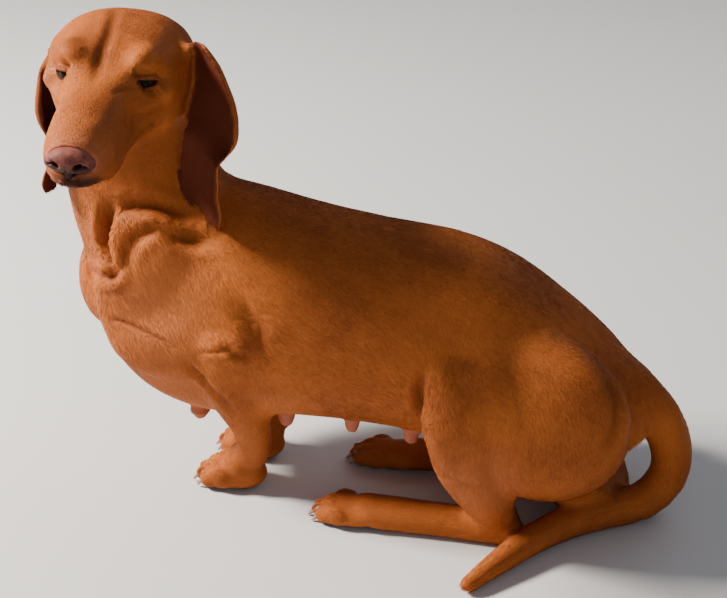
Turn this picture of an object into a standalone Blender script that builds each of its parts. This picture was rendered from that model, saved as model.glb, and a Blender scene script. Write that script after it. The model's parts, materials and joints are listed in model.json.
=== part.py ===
"""A smooth-haired dachshund sitting at ease, as a still life-size model.

The dog faces -X with its left side towards -Y, and the floor is z = 0.
The body is built from named masses, fused into one smooth form and then
parted with thin cuts where a person would name its parts.
"""

from math import cos, pi, radians, sin

import bmesh
import bpy
import numpy as np
from mathutils import Matrix, Vector

# Driving sizes, in metres and degrees
GAP = 0.0003                 # clearance between parts that touch
CENTRE = Vector((0.0192, 0.0266, 0.0))   # moves the dog to stand centred on the origin
EYE_RADIUS = 0.0098
EYE_SIDES = 15
EYE_SPREAD = 0.0222          # from the middle of the face to each eye's centre
EYE_OUT = 26.0               # how far each eye looks out from straight ahead
LID = 0.0019                 # thickness of the lids over the eyeball
EYE_BACK = -0.0005           # from the head's origin back to each eye's centre
SLIT_LENGTH = 0.0150
SLIT_HEIGHT = 0.0042
HEAD_TURN = 101.2            # how far the head looks to its left
HEAD_NOD = 5.6               # nose down
HEAD_TILT = 4.3
HEAD_AT = Vector((-0.1771, -0.0672, 0.3259))   # midway between the eyes
EAR_THICK = 0.0034
EAR_EDGE = 0.0020
LEAF_STEPS = 8               # strips across an ear, with those of its folded hem
HEM_STEPS = 3
HEM_FOLD = 112.0             # degrees that a full hem turns back
HEM_FULL = 0.008
MOUTH_DEEP = 0.0014
TOE_COUNT = 4
CLAW_LENGTH = 0.009
TEAT_LENGTH = 0.008
TEAT_RADIUS = 0.0055

BODY_VOXEL = 0.0040
FINE_VOXEL = 0.0025
BODY_FACES = 5700
NOSE_FACES = 360

COAT = ((0.42, 0.125, 0.030), 0.50)           # colour and roughness
NOSE_SKIN = ((0.30, 0.13, 0.11), 0.35)
EYE_DARK = ((0.010, 0.006, 0.004), 0.06)
LOOKS = {"nose": NOSE_SKIN, "eye_left": EYE_DARK, "eye_right": EYE_DARK}


def clear_scene():
    """Start from an empty scene."""
    for obj in list(bpy.data.objects):
        bpy.data.objects.remove(obj, do_unlink=True)


def finish(obj, look):
    """Give an object its own plain Principled material."""
    colour, roughness = look
    made = bpy.data.materials.new(obj.name + "_finish")
    made.use_nodes = True
    shader = made.node_tree.nodes["Principled BSDF"]
    shader.inputs["Base Color"].default_value = (*colour, 1.0)
    shader.inputs["Roughness"].default_value = roughness
    shader.inputs["Metallic"].default_value = 0.0
    obj.data.materials.clear()
    obj.data.materials.append(made)


def add_object(name, bm):
    """Turn a bmesh into an object with faces pointing out."""
    bmesh.ops.recalc_face_normals(bm, faces=bm.faces)
    if bm.calc_volume(signed=True) < 0:
        bmesh.ops.reverse_faces(bm, faces=bm.faces)
    mesh = bpy.data.meshes.new(name)
    bm.to_mesh(mesh)
    bm.free()
    obj = bpy.data.objects.new(name, mesh)
    bpy.context.scene.collection.objects.link(obj)
    return obj


def through(rows, steps):
    """A smooth run of rows through the given rows (Catmull-Rom)."""
    rows = np.array(rows, float)
    ends = np.vstack([2 * rows[0] - rows[1], rows, 2 * rows[-1] - rows[-2]])
    run = []
    for i in range(1, len(ends) - 2):
        before, start, stop, after = ends[i - 1:i + 3]
        for t in np.arange(steps) / steps:
            run.append(0.5 * (2 * start + (stop - before) * t
                              + (2 * before - 5 * start + 4 * stop - after) * t ** 2
                              + (3 * start - before - 3 * stop + after) * t ** 3))
    run.append(rows[-1])
    return np.array(run)


def limb(name, rows, side, sides=28, steps=5, square=2.2, upright=None, place=None):
    """A round-ended form through rows of x, y, z, half width, height up, height down.

    side is the direction that the width is measured along. With upright set,
    every ring stands in the plane across that direction.
    """
    run = through(rows, steps)
    points = run[:, :3]
    along = np.gradient(points, axis=0)
    if upright is not None:
        along = np.tile(np.array(upright, float), (len(points), 1))
    along /= np.linalg.norm(along, axis=1)[:, None]
    rings = []
    last_rise = np.array((0.0, 0.0, 1.0))
    angles = 2 * pi * np.arange(sides) / sides
    for point, forward, (wide, up, down) in zip(points, along, run[:, 3:6]):
        across = np.array(side, float) - forward * np.dot(side, forward)
        across /= np.linalg.norm(across)
        rise = np.cross(forward, across)
        if np.dot(rise, last_rise) < 0:
            rise = -rise
        last_rise = rise
        ring = []
        for a in angles:
            c, s = cos(a), sin(a)
            c = np.sign(c) * abs(c) ** (2 / square)
            s = np.sign(s) * abs(s) ** (2 / square)
            height = up if s > 0 else down
            ring.append(point + across * wide * c + rise * height * s)
        rings.append(np.array(ring))
    caps = []
    for end, inner in ((0, 1), (-1, -2)):
        out = points[end] - points[inner]
        out /= np.linalg.norm(out)
        reach = min(run[end, 3], (run[end, 4] + run[end, 5]) / 2) * 0.85
        middle = rings[end].mean(axis=0)
        dome = [middle + (rings[end] - middle) * cos(t) + out * reach * sin(t)
                for t in (pi * 0.17, pi * 0.33, pi * 0.44)]
        caps.append((dome, middle + out * reach))
    stack = caps[0][0][::-1] + rings + caps[1][0]
    bm = bmesh.new()
    loops = [[bm.verts.new(p) for p in ring] for ring in stack]
    for low, high in zip(loops, loops[1:]):
        for i in range(sides):
            j = (i + 1) % sides
            bm.faces.new((low[i], low[j], high[j], high[i]))
    for loop, tip in ((loops[0], caps[0][1]), (loops[-1], caps[1][1])):
        top = bm.verts.new(tip)
        for i in range(sides):
            bm.faces.new((loop[i], loop[(i + 1) % sides], top))
    if place is not None:
        bm.transform(place)
    return add_object(name, bm)


def lump(name, centre, radii, turn=(0, 0, 0), place=None, sides=24):
    """An ellipsoid, turned by degrees about X, Y and Z."""
    bm = bmesh.new()
    bmesh.ops.create_uvsphere(bm, u_segments=sides, v_segments=sides * 2 // 3, radius=1.0)
    spin = Matrix.Identity(4)
    for axis, angle in zip("XYZ", turn):
        spin = Matrix.Rotation(radians(angle), 4, axis) @ spin
    bm.transform(Matrix.Translation(centre) @ spin @ Matrix.Diagonal((*radii, 1.0)))
    if place is not None:
        bm.transform(place)
    return add_object(name, bm)


def settle(obj):
    """Apply an object's modifiers."""
    bpy.context.view_layer.update()
    seen = obj.evaluated_get(bpy.context.evaluated_depsgraph_get())
    mesh = bpy.data.meshes.new_from_object(seen)
    obj.modifiers.clear()
    old = obj.data
    obj.data = mesh
    bpy.data.meshes.remove(old)


def join(name, pieces):
    """Gather pieces into one mesh object."""
    bm = bmesh.new()
    for piece in pieces:
        bm.from_mesh(piece.data)
        bpy.data.objects.remove(piece, do_unlink=True)
    mesh = bpy.data.meshes.new(name)
    bm.to_mesh(mesh)
    bm.free()
    obj = bpy.data.objects.new(name, mesh)
    bpy.context.scene.collection.objects.link(obj)
    return obj


def fuse(name, pieces, voxel, rounds, factor=0.5):
    """Fuse overlapping pieces into one skin and soften where they meet."""
    obj = join(name, pieces)
    remesh = obj.modifiers.new("remesh", "REMESH")
    remesh.mode = "VOXEL"
    remesh.voxel_size = voxel
    smooth = obj.modifiers.new("smooth", "SMOOTH")
    smooth.factor = factor
    smooth.iterations = rounds
    settle(obj)
    return obj


def head_place():
    """Head frame: the nose looks along -X and the origin lies between the eyes."""
    return (Matrix.Translation(HEAD_AT)
            @ Matrix.Rotation(radians(HEAD_TURN), 4, "Z")
            @ Matrix.Rotation(radians(-HEAD_NOD), 4, "Y")
            @ Matrix.Rotation(radians(HEAD_TILT), 4, "X"))


def trunk_pieces():
    """Chest, barrel, rump and neck, with the masses of the shoulders and thighs."""
    trunk = [
        # x, y, z of the widest level, half width, height up, height down
        (-0.216, -0.002, 0.148, 0.034, 0.044, 0.040),
        (-0.204, -0.002, 0.148, 0.049, 0.064, 0.060),
        (-0.181, 0.000, 0.147, 0.061, 0.081, 0.080),
        (-0.148, 0.000, 0.146, 0.067, 0.086, 0.089),
        (-0.110, 0.000, 0.144, 0.069, 0.084, 0.086),
        (-0.070, 0.003, 0.141, 0.070, 0.078, 0.077),
        (-0.020, 0.008, 0.137, 0.069, 0.074, 0.072),
        (0.030, 0.013, 0.132, 0.067, 0.074, 0.072),
        (0.070, 0.018, 0.120, 0.065, 0.072, 0.074),
        (0.105, 0.024, 0.098, 0.063, 0.069, 0.084),
        (0.136, 0.030, 0.078, 0.055, 0.063, 0.072),
        (0.154, 0.034, 0.072, 0.042, 0.050, 0.060),
    ]
    pieces = [limb("trunk", trunk, (0, 1, 0), upright=(1, 0, 0), square=2.2)]
    neck = [
        (-0.150, 0.000, 0.160, 0.058, 0.062, 0.062),
        (-0.177, -0.003, 0.200, 0.051, 0.057, 0.061),
        (-0.192, -0.003, 0.240, 0.049, 0.050, 0.053),
        (-0.193, -0.004, 0.268, 0.048, 0.047, 0.048),
        (-0.191, -0.004, 0.290, 0.045, 0.044, 0.042),
        (-0.190, 0.000, 0.300, 0.036, 0.035, 0.034),
    ]
    pieces.append(limb("neck", neck, (0, 1, 0)))
    pieces.append(lump("nape", (-0.184, 0.006, 0.286), (0.043, 0.040, 0.040)))
    for side in (-1, 1):
        pieces.append(lump("shoulder", (-0.170, side * 0.048, 0.170), (0.036, 0.022, 0.056),
                           (0, 28, 0)))
        pieces.append(lump("upper_arm", (-0.148, side * 0.053, 0.132), (0.054, 0.022, 0.032),
                           (0, -6, 0)))
    pieces.append(lump("prosternum", (-0.217, -0.002, 0.140), (0.020, 0.030, 0.028)))
    pieces.append(lump("left_thigh", (0.106, -0.020, 0.094), (0.066, 0.040, 0.062), (0, -12, -8)))
    pieces.append(lump("left_flank", (0.066, -0.040, 0.114), (0.034, 0.030, 0.042)))
    pieces.append(lump("right_thigh", (0.100, 0.070, 0.072), (0.060, 0.030, 0.050), (0, -12, 12)))
    pieces.append(lump("right_flank", (0.064, 0.074, 0.096), (0.032, 0.026, 0.032)))
    pieces.append(lump("seat", (0.144, 0.034, 0.052), (0.032, 0.040, 0.056)))
    return pieces


FORELEG = {
    # elbow, mid forearm, low forearm, wrist, paw
    -1: ((-0.106, -0.056, 0.138), (-0.107, -0.050, 0.098), (-0.100, -0.038, 0.062),
         (-0.102, -0.027, 0.036), (-0.121, -0.022, 0.0)),
    1: ((-0.116, 0.058, 0.134), (-0.112, 0.052, 0.096), (-0.105, 0.040, 0.062),
        (-0.104, 0.029, 0.036), (-0.123, 0.023, 0.0)),
}
HINDLEG = {
    # knee, middle of the shin, hock, toes
    -1: ((0.056, -0.058, 0.106), (0.062, -0.050, 0.062), (0.084, -0.034, 0.020),
         (-0.023, -0.043, 0.0)),
    1: ((0.056, 0.092, 0.094), (0.066, 0.082, 0.058), (0.088, 0.058, 0.020),
        (-0.021, 0.038, 0.0)),
}


def foreleg_rows(side, extra=0.0):
    """Rows of the forearm, wider by extra."""
    elbow, mid, low, wrist, paw = FORELEG[side]
    instep = ((wrist[0] + paw[0]) / 2, (wrist[1] + paw[1]) / 2, 0.020)
    sizes = ((0.021, 0.029), (0.0170, 0.0215), (0.0135, 0.0150), (0.0140, 0.0140),
             (0.0155, 0.0145))
    return [(*at, wide + extra, deep + extra, deep + extra)
            for at, (wide, deep) in zip((elbow, mid, low, wrist, instep), sizes)]


def shin_rows(side, extra=0.0):
    """Rows of the shin, wider by extra."""
    knee, mid, hock, _ = HINDLEG[side]
    sizes = ((0.020, 0.024), (0.0165, 0.0200), (0.0140, 0.0145))
    return [(*at, wide + extra, deep + extra, deep + extra)
            for at, (wide, deep) in zip((knee, mid, hock), sizes)]


def foot_rows(side, extra=0.0):
    """Rows of the long hind foot from hock to toes, wider by extra."""
    hock, toes = HINDLEG[side][2:]
    rows = []
    for share, wide, high in ((-0.06, 0.0130, 0.0125), (0.35, 0.0130, 0.0112),
                              (0.68, 0.0148, 0.0110), (0.88, 0.0162, 0.0100)):
        x = hock[0] + (toes[0] - hock[0]) * share
        y = hock[1] + (toes[1] - hock[1]) * share
        rows.append((x, y, 0.0112, wide + extra, high + extra, 0.0140 + extra))
    return rows


def paw_pieces(at, heading, width, height):
    """A paw whose toes point along -X turned by heading degrees."""
    place = Matrix.Translation(at) @ Matrix.Rotation(radians(heading), 4, "Z")
    pieces = [lump("palm", (0.004, 0, height * 0.40), (0.022, width * 0.46, height * 0.54),
                   place=place)]
    for reach, across, spread in toes(width):
        pieces.append(lump("toe", (reach, across, height * 0.32),
                           (0.0125, width * 0.155, height * 0.46), (0, 0, spread),
                           place=place))
    return pieces


def toes(width):
    """How far forward and across each toe of a paw lies, and how far it splays."""
    for toe in range(TOE_COUNT):
        across = (toe - (TOE_COUNT - 1) / 2) / ((TOE_COUNT - 1) / 2)
        yield -0.016 + 0.006 * across ** 2, across * width * 0.36, across * 10


PAWS = {
    # place, heading, width, height
    "forepaw_left": (FORELEG[-1][4], 8.0, 0.040, 0.026),
    "forepaw_right": (FORELEG[1][4], -4.0, 0.040, 0.026),
    "hindpaw_left": (HINDLEG[-1][3], 0.0, 0.036, 0.0215),
    "hindpaw_right": (HINDLEG[1][3], 0.0, 0.036, 0.0215),
}


def limb_pieces():
    """Forearms, shins, feet and paws."""
    pieces = []
    for side in (-1, 1):
        pieces.append(limb("forearm", foreleg_rows(side), (0, 1, 0), sides=20, steps=4, square=2.0))
        pieces.append(limb("shin", shin_rows(side), (0, 1, 0), sides=18, steps=4, square=2.0))
        pieces.append(limb("foot", foot_rows(side), (0, 1, 0), sides=18, steps=4, square=2.1))
        knee = HINDLEG[side][0]
        pieces.append(lump("knee", (knee[0] + 0.004, knee[1] - side * 0.002, knee[2]),
                           (0.024, 0.020, 0.034)))
    for at, heading, width, height in PAWS.values():
        pieces += paw_pieces(at, heading, width, height)
    return pieces


def head_pieces():
    """Skull, muzzle and jaw in the head's frame."""
    place = head_place()
    skull = [
        # x, y, z of the widest level, half width, height up, height down
        (0.088, 0, -0.014, 0.026, 0.0205, 0.024),
        (0.073, 0, -0.010, 0.040, 0.0268, 0.036),
        (0.051, 0, -0.008, 0.0474, 0.0318, 0.042),
        (0.029, 0, -0.008, 0.0482, 0.0312, 0.043),
        (0.009, 0, -0.008, 0.0432, 0.0276, 0.041),
        (-0.007, 0, -0.011, 0.0360, 0.0258, 0.037),
        (-0.021, 0, -0.015, 0.0295, 0.0250, 0.031),
        (-0.038, 0, -0.018, 0.0252, 0.0240, 0.0265),
        (-0.055, 0, -0.020, 0.0235, 0.0228, 0.0240),
        (-0.068, 0, -0.021, 0.0222, 0.0208, 0.0225),
        (-0.081, 0, -0.022, 0.0185, 0.0172, 0.0185),
    ]
    pieces = [limb("skull", skull, (0, 1, 0), sides=32, upright=(1, 0, 0), square=2.3,
                   place=place)]
    jaw = [
        (0.042, 0, -0.036, 0.028, 0.017, 0.015),
        (0.010, 0, -0.041, 0.021, 0.015, 0.013),
        (-0.022, 0, -0.0410, 0.0170, 0.011, 0.0095),
        (-0.050, 0, -0.0395, 0.0150, 0.009, 0.0080),
        (-0.070, 0, -0.0375, 0.0115, 0.008, 0.0070),
    ]
    pieces.append(limb("jaw", jaw, (0, 1, 0), sides=24, upright=(1, 0, 0), place=place))
    for side in (-1, 1):
        pieces.append(lump("cheek", (0.034, side * 0.033, -0.023), (0.032, 0.013, 0.024),
                           place=place))
        pieces.append(lump("ear_root", (0.035, side * 0.0400, -0.001), (0.020, 0.0098, 0.0105),
                           place=place))
        pieces.append(lump("arch", (0.018, side * 0.034, -0.008), (0.026, 0.009, 0.010),
                           (0, 0, side * -14), place=place))
        pieces.append(lump("brow", (0.003, side * 0.022, 0.007), (0.017, 0.014, 0.013),
                           place=place))
        pieces.append(lump("flew", (-0.056, side * 0.0150, -0.0300), (0.026, 0.0078, 0.012),
                           place=place))
    return pieces


TAIL = [
    (0.138, 0.028, 0.106, 0.025, 0.025, 0.025),
    (0.161, 0.032, 0.097, 0.0200, 0.0200, 0.0200),
    (0.181, 0.037, 0.077, 0.0170, 0.0170, 0.0170),
    (0.191, 0.041, 0.052, 0.0155, 0.0155, 0.0155),
    (0.190, 0.040, 0.028, 0.0147, 0.0147, 0.0147),
    (0.176, 0.026, 0.0138, 0.0141, 0.0141, 0.0141),
    (0.153, 0.006, 0.0132, 0.0135, 0.0135, 0.0135),
    (0.130, -0.015, 0.0122, 0.0125, 0.0125, 0.0125),
    (0.110, -0.042, 0.0108, 0.0111, 0.0111, 0.0111),
    (0.094, -0.071, 0.0088, 0.0091, 0.0091, 0.0091),
    (0.079, -0.100, 0.0060, 0.0062, 0.0062, 0.0062),
]


def leaf(name, rows, faces_in):
    """An ear: a thin leaf through rows of x, y, z, half width, curl, heading and hem.

    The leaf's width runs along its heading and curls towards the inner side.
    The hem is a further strip along the front edge, folded back sharply.
    Both faces are split into the same triangles.
    """
    run = through(rows, 2)
    inner, outer = [], []
    for x, y, z, half, curl, heading, hem in run:
        lengths = [2 * half / (LEAF_STEPS - HEM_STEPS)] * (LEAF_STEPS - HEM_STEPS)
        lengths += [max(hem, 0.0006) / HEM_STEPS] * HEM_STEPS
        turns = [2 * curl / (LEAF_STEPS - HEM_STEPS)] * (LEAF_STEPS - HEM_STEPS)
        turns += [HEM_FOLD / HEM_STEPS * min(1.0, hem / HEM_FULL)] * HEM_STEPS
        places = [Vector((0, 0, 0))]
        headings = [heading + faces_in * curl]
        for length, turn in zip(lengths, turns):
            middle = radians(headings[-1] - faces_in * turn / 2)
            places.append(places[-1] + Vector((cos(middle), sin(middle), 0)) * length)
            headings.append(headings[-1] - faces_in * turn)
        shift = Vector((x, y, z)) - (places[0] + places[LEAF_STEPS - HEM_STEPS]) / 2
        for k, (at, way) in enumerate(zip(places, headings)):
            across = Vector((cos(radians(way)), sin(radians(way)), 0))
            normal = Vector((across.y, -across.x, 0)) * faces_in
            edge = abs(2 * k / LEAF_STEPS - 1)
            thick = EAR_THICK + (EAR_EDGE - EAR_THICK) * edge ** 2
            inner.append(at + shift + normal * thick / 2)
            outer.append(at + shift - normal * thick / 2)
    bm = bmesh.new()
    sheets = [[bm.verts.new(p) for p in sheet] for sheet in (inner, outer)]
    count, wide = len(run), LEAF_STEPS + 1
    for r in range(count - 1):
        for k in range(wide - 1):
            a = r * wide + k
            b, c, d = a + 1, a + wide + 1, a + wide
            for verts in sheets:
                bm.faces.new((verts[a], verts[b], verts[c]))
                bm.faces.new((verts[a], verts[c], verts[d]))
    rim = list(range(wide))
    rim += [r * wide + wide - 1 for r in range(1, count)]
    rim += [(count - 1) * wide + k for k in range(wide - 2, -1, -1)]
    rim += [r * wide for r in range(count - 2, 0, -1)]
    for a, b in zip(rim, rim[1:] + rim[:1]):
        bm.faces.new((sheets[0][a], sheets[0][b], sheets[1][b], sheets[1][a]))
    return add_object(name, bm)


EARS = {
    # x, y, z, half width, curl, heading of the width and length of the hem
    "ear_left": (((-0.1275, -0.0365, 0.3420, 0.0080, 15, -46, 0.001),
                  (-0.1260, -0.0355, 0.3385, 0.0125, 20, -44, 0.003),
                  (-0.1235, -0.0350, 0.3300, 0.0205, 25, -40, 0.004),
                  (-0.1222, -0.0345, 0.3180, 0.0248, 28, -35, 0.005),
                  (-0.1200, -0.0350, 0.3050, 0.0265, 30, -31, 0.0065),
                  (-0.1190, -0.0380, 0.2900, 0.0265, 30, -27, 0.0075),
                  (-0.1210, -0.0420, 0.2785, 0.0246, 28, -22, 0.007),
                  (-0.1259, -0.0460, 0.2680, 0.0248, 32, -37, 0.001),
                  (-0.1275, -0.0460, 0.2550, 0.0254, 34, -36, 0.0),
                  (-0.1275, -0.0460, 0.2430, 0.0247, 34, -37, 0.0),
                  (-0.1240, -0.0460, 0.2320, 0.0215, 30, -37, 0.0),
                  (-0.1198, -0.0465, 0.2240, 0.0138, 22, -42, 0.0),
                  (-0.1175, -0.0470, 0.2180, 0.0060, 12, -45, 0.0)), 1),
    "ear_right": (((-0.2225, -0.0400, 0.3350, 0.0090, 12, 270, 0.001),
                   (-0.2255, -0.0370, 0.3290, 0.0150, 16, 264, 0.003),
                   (-0.2300, -0.0330, 0.3190, 0.0205, 20, 259, 0.005),
                   (-0.2345, -0.0315, 0.3040, 0.0225, 22, 262, 0.007),
                   (-0.2385, -0.0310, 0.2900, 0.0230, 22, 266, 0.008),
                   (-0.2390, -0.0310, 0.2790, 0.0210, 22, 270, 0.006),
                   (-0.2375, -0.0315, 0.2680, 0.0160, 20, 273, 0.001),
                   (-0.2375, -0.0330, 0.2540, 0.0145, 18, 275, 0.0),
                   (-0.2405, -0.0360, 0.2420, 0.0145, 18, 272, 0.0),
                   (-0.2420, -0.0395, 0.2330, 0.0115, 14, 266, 0.0),
                   (-0.2410, -0.0425, 0.2270, 0.0055, 10, 262, 0.0)), -1),
}


def box(name, size, place):
    """A box of a size, centred in its own place."""
    bm = bmesh.new()
    bmesh.ops.create_cube(bm, size=1.0)
    bm.transform(place @ Matrix.Diagonal((*size, 1.0)))
    return add_object(name, bm)


def guide(obj):
    """Mark a cutter, which isn't part of the model."""
    obj.hide_render = True
    obj.display_type = "WIRE"
    return obj


def grown(obj, by):
    """A copy of a cutter with its faces moved out by the clearance."""
    twin = bpy.data.objects.new(obj.name + "_grown", obj.data.copy())
    bpy.context.scene.collection.objects.link(twin)
    push = twin.modifiers.new("push", "DISPLACE")
    push.strength = by
    push.mid_level = 0.0
    settle(twin)
    return guide(twin)


def combine(obj, other, operation):
    """Apply a Boolean with one other object."""
    cut = obj.modifiers.new("cut", "BOOLEAN")
    cut.operation = operation
    cut.object = other
    cut.solver = "EXACT"
    settle(obj)


def combine_all(obj, others, operation):
    """Apply a Boolean with a collection of closed meshes, which is then removed."""
    group = bpy.data.collections.new("group")
    bpy.context.scene.collection.children.link(group)
    for other in others:
        group.objects.link(other)
    cut = obj.modifiers.new("cut", "BOOLEAN")
    cut.operation = operation
    cut.operand_type = "COLLECTION"
    cut.collection = group
    cut.solver = "EXACT"
    settle(obj)
    for other in others:
        bpy.data.objects.remove(other, do_unlink=True)
    bpy.data.collections.remove(group)


def keep_largest(obj):
    """Keep only an object's largest closed surface."""
    bm = bmesh.new()
    bm.from_mesh(obj.data)
    bmesh.ops.remove_doubles(bm, verts=bm.verts, dist=0.00002)
    bmesh.ops.dissolve_degenerate(bm, edges=bm.edges, dist=0.00001)
    bm.verts.ensure_lookup_table()
    seen = set()
    groups = []
    for start in bm.verts:
        if start in seen:
            continue
        group, edge_of = [], [start]
        seen.add(start)
        while edge_of:
            vert = edge_of.pop()
            group.append(vert)
            for edge in vert.link_edges:
                other = edge.other_vert(vert)
                if other not in seen:
                    seen.add(other)
                    edge_of.append(other)
        groups.append(group)
    groups.sort(key=len)
    for group in groups[:-1]:
        bmesh.ops.delete(bm, geom=group, context="VERTS")
    bmesh.ops.triangulate(bm, faces=bm.faces)
    if bm.calc_volume(signed=True) < 0:
        bmesh.ops.reverse_faces(bm, faces=bm.faces)
    bm.to_mesh(obj.data)
    bm.free()


def part_off(whole, name, zone):
    """Take the piece of the whole that lies in a zone, a clearance away from the rest."""
    piece = bpy.data.objects.new(name, whole.data.copy())
    bpy.context.scene.collection.objects.link(piece)
    combine(piece, zone, "INTERSECT")
    keep_largest(piece)
    wider = grown(zone, GAP)
    combine(whole, wider, "DIFFERENCE")
    keep_largest(whole)
    bpy.data.objects.remove(wider, do_unlink=True)
    bpy.data.objects.remove(zone, do_unlink=True)
    return piece


def coarse(name, pieces, voxel=0.006, rounds=8, faces=320):
    """A cutter made of fused pieces with few faces."""
    obj = fuse(name, pieces, voxel, rounds)
    thin = obj.modifiers.new("thin", "DECIMATE")
    thin.ratio = min(1.0, faces / max(1, len(obj.data.polygons) * 2))
    settle(obj)
    return guide(obj)


def thin_out(obj, faces):
    """Bring a mesh down to about so many triangles."""
    thin = obj.modifiers.new("thin", "DECIMATE")
    thin.ratio = faces / (len(obj.data.polygons) * 2)
    settle(obj)


def eye_place(side):
    """Frame of an eye: it looks along its own -X."""
    return (head_place() @ Matrix.Translation((EYE_BACK, side * EYE_SPREAD, 0.0))
            @ Matrix.Rotation(radians(side * -EYE_OUT), 4, "Z"))


def on_skin(head, at, way):
    """Where a line in the head's frame first meets the skin."""
    place = head_place()
    hit, point, _, _ = head.ray_cast(place @ Vector(at), (place.to_3x3() @ Vector(way)).normalized())
    if not hit:
        raise ValueError("the line misses the head")
    return point


def carve_face(head):
    """Lids over the eyes, the slits between them, the line of the mouth."""
    lids = [lump("lid", (0, 0, 0), [EYE_RADIUS + LID] * 3, place=eye_place(side), sides=15)
            for side in (-1, 1)]
    combine_all(head, lids, "UNION")
    cuts = []
    for side in (-1, 1):
        cuts.append(lump("socket", (0, 0, 0), [EYE_RADIUS + GAP] * 3, place=eye_place(side),
                         sides=EYE_SIDES))
        cuts.append(lump("slit", (-EYE_RADIUS - 0.008, 0, -0.0005),
                         (0.016, SLIT_LENGTH / 2, SLIT_HEIGHT / 2), (side * -12, 0, 0),
                         place=eye_place(side), sides=15))
        lip = [on_skin(head, at, way) for at, way in (
            ((-0.140, side * 0.0015, -0.0345), (1, 0, 0)),
            ((-0.120, side * 0.0400, -0.0350), (0.65, side * -0.75, 0)),
            ((-0.078, side * 0.0700, -0.0370), (0, -side, 0)),
            ((-0.060, side * 0.0700, -0.0395), (0, -side, 0)),
            ((-0.040, side * 0.0700, -0.0390), (0, -side, 0)),
            ((-0.018, side * 0.0700, -0.0350), (0, -side, 0)))]
        rows = [(*at, MOUTH_DEEP, MOUTH_DEEP, MOUTH_DEEP) for at in lip]
        cuts.append(limb("mouth", rows, (0, 0, 1), sides=6, steps=3))
    for cut in cuts:
        combine(head, cut, "DIFFERENCE")
        bpy.data.objects.remove(cut, do_unlink=True)
    keep_largest(head)


def nose_and_bed(head):
    """The leather of the nose with its nostrils, let into the muzzle's end."""
    place = head_place()
    pieces = [
        lump("tip", (-0.0918, 0, -0.0168), (0.0084, 0.0132, 0.0074), place=place),
        lump("wing", (-0.0900, 0, -0.0188), (0.0086, 0.0156, 0.0062), place=place),
        lump("lip", (-0.0915, 0, -0.0258), (0.0042, 0.0028, 0.0056), place=place),
    ]
    nose = fuse("nose", pieces, 0.0012, 3)
    thin = nose.modifiers.new("thin", "DECIMATE")
    thin.ratio = NOSE_FACES / (len(nose.data.polygons) * 2)
    settle(nose)
    bed = grown(nose, GAP)
    combine(head, bed, "DIFFERENCE")
    keep_largest(head)
    bpy.data.objects.remove(bed, do_unlink=True)
    for side in (-1, 1):
        hole = lump("nostril", (-0.0982, side * 0.0076, -0.0178), (0.0052, 0.0030, 0.0025),
                    (side * 20, 0, side * 25), place=place, sides=9)
        combine(nose, hole, "DIFFERENCE")
        bpy.data.objects.remove(hole, do_unlink=True)
    keep_largest(nose)
    return nose


def claws(name):
    """The claws of one paw, each a short bent cone sunk into its toe."""
    at, heading, width, height = PAWS[name]
    place = Matrix.Translation(at) @ Matrix.Rotation(radians(heading), 4, "Z")
    made = []
    for reach, across, spread in toes(width):
        turn = Matrix.Translation((reach, across, 0)) @ Matrix.Rotation(radians(spread), 4, "Z")
        rows = [(-0.006, 0, height * 0.42, 0.0022, 0.0024, 0.0024),
                (-0.006 - CLAW_LENGTH * 0.6, 0, height * 0.40, 0.0018, 0.0020, 0.0020),
                (-0.006 - CLAW_LENGTH, 0, height * 0.22, 0.0008, 0.0008, 0.0008)]
        made.append(limb("claw", rows, (0, 1, 0), sides=6, steps=1, square=2.0,
                         place=place @ turn))
    return made


def press(obj, spots):
    """Push a skin in or out around spots: place, reach, direction and distance."""
    count = len(obj.data.vertices)
    points = np.empty(count * 3)
    obj.data.vertices.foreach_get("co", points)
    points = points.reshape(count, 3)
    for place, reach, direction, distance in spots:
        gap = np.linalg.norm(points - np.array(place), axis=1)
        push = distance * np.exp(-(gap / reach) ** 2)
        points += push[:, None] * np.array(Vector(direction).normalized())
    obj.data.vertices.foreach_set("co", points.ravel())
    obj.data.update()


def face_spots():
    """Hollows and swellings of the face, in the head's frame."""
    spots = [((-0.014, 0, 0.017), 0.014, (0.2, 0, -1), 0.0030)]
    for step in range(5):
        spots.append(((-0.004 + 0.009 * step, 0, 0.022 + 0.0025 * step), 0.0050, (0, 0, -1),
                      0.0014))
    for side in (-1, 1):
        spots += [
            ((-0.007, side * 0.029, 0.001), 0.0095, (0.8, side * -0.6, 0), 0.0030),
            ((-0.026, side * 0.026, -0.014), 0.0140, (0.2, -side, 0), 0.0030),
            ((0.006, side * 0.028, 0.019), 0.0100, (-0.5, side * 0.3, 0.8), 0.0015),
            ((0.020, side * 0.044, 0.008), 0.0140, (0, -side, 0), 0.0025),
        ]
    place = head_place()
    turn = place.to_3x3()
    return [(place @ Vector(at), reach, turn @ Vector(way), by) for at, reach, way, by in spots]


def teats(torso):
    """Two rows of teats along the belly, sunk into its skin."""
    made = []
    for x in (-0.146, -0.078, -0.028, 0.016):
        for side in (-1, 1):
            y = side * 0.026 + 0.004
            hit, point, normal, _ = torso.ray_cast(Vector((x, y, -0.05)), Vector((0, 0, 1)))
            if not hit:
                continue
            rows = [(x, y, point.z + 0.006, TEAT_RADIUS * 1.5, TEAT_RADIUS * 1.5, TEAT_RADIUS * 1.5),
                    (x, y, point.z - TEAT_LENGTH * 0.4, TEAT_RADIUS, TEAT_RADIUS, TEAT_RADIUS),
                    (x, y, point.z - TEAT_LENGTH, TEAT_RADIUS * 0.7, TEAT_RADIUS * 0.7,
                     TEAT_RADIUS * 0.7)]
            made.append(limb("teat", rows, (0, 1, 0), sides=6, steps=1, square=2.0))
    return made


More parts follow.
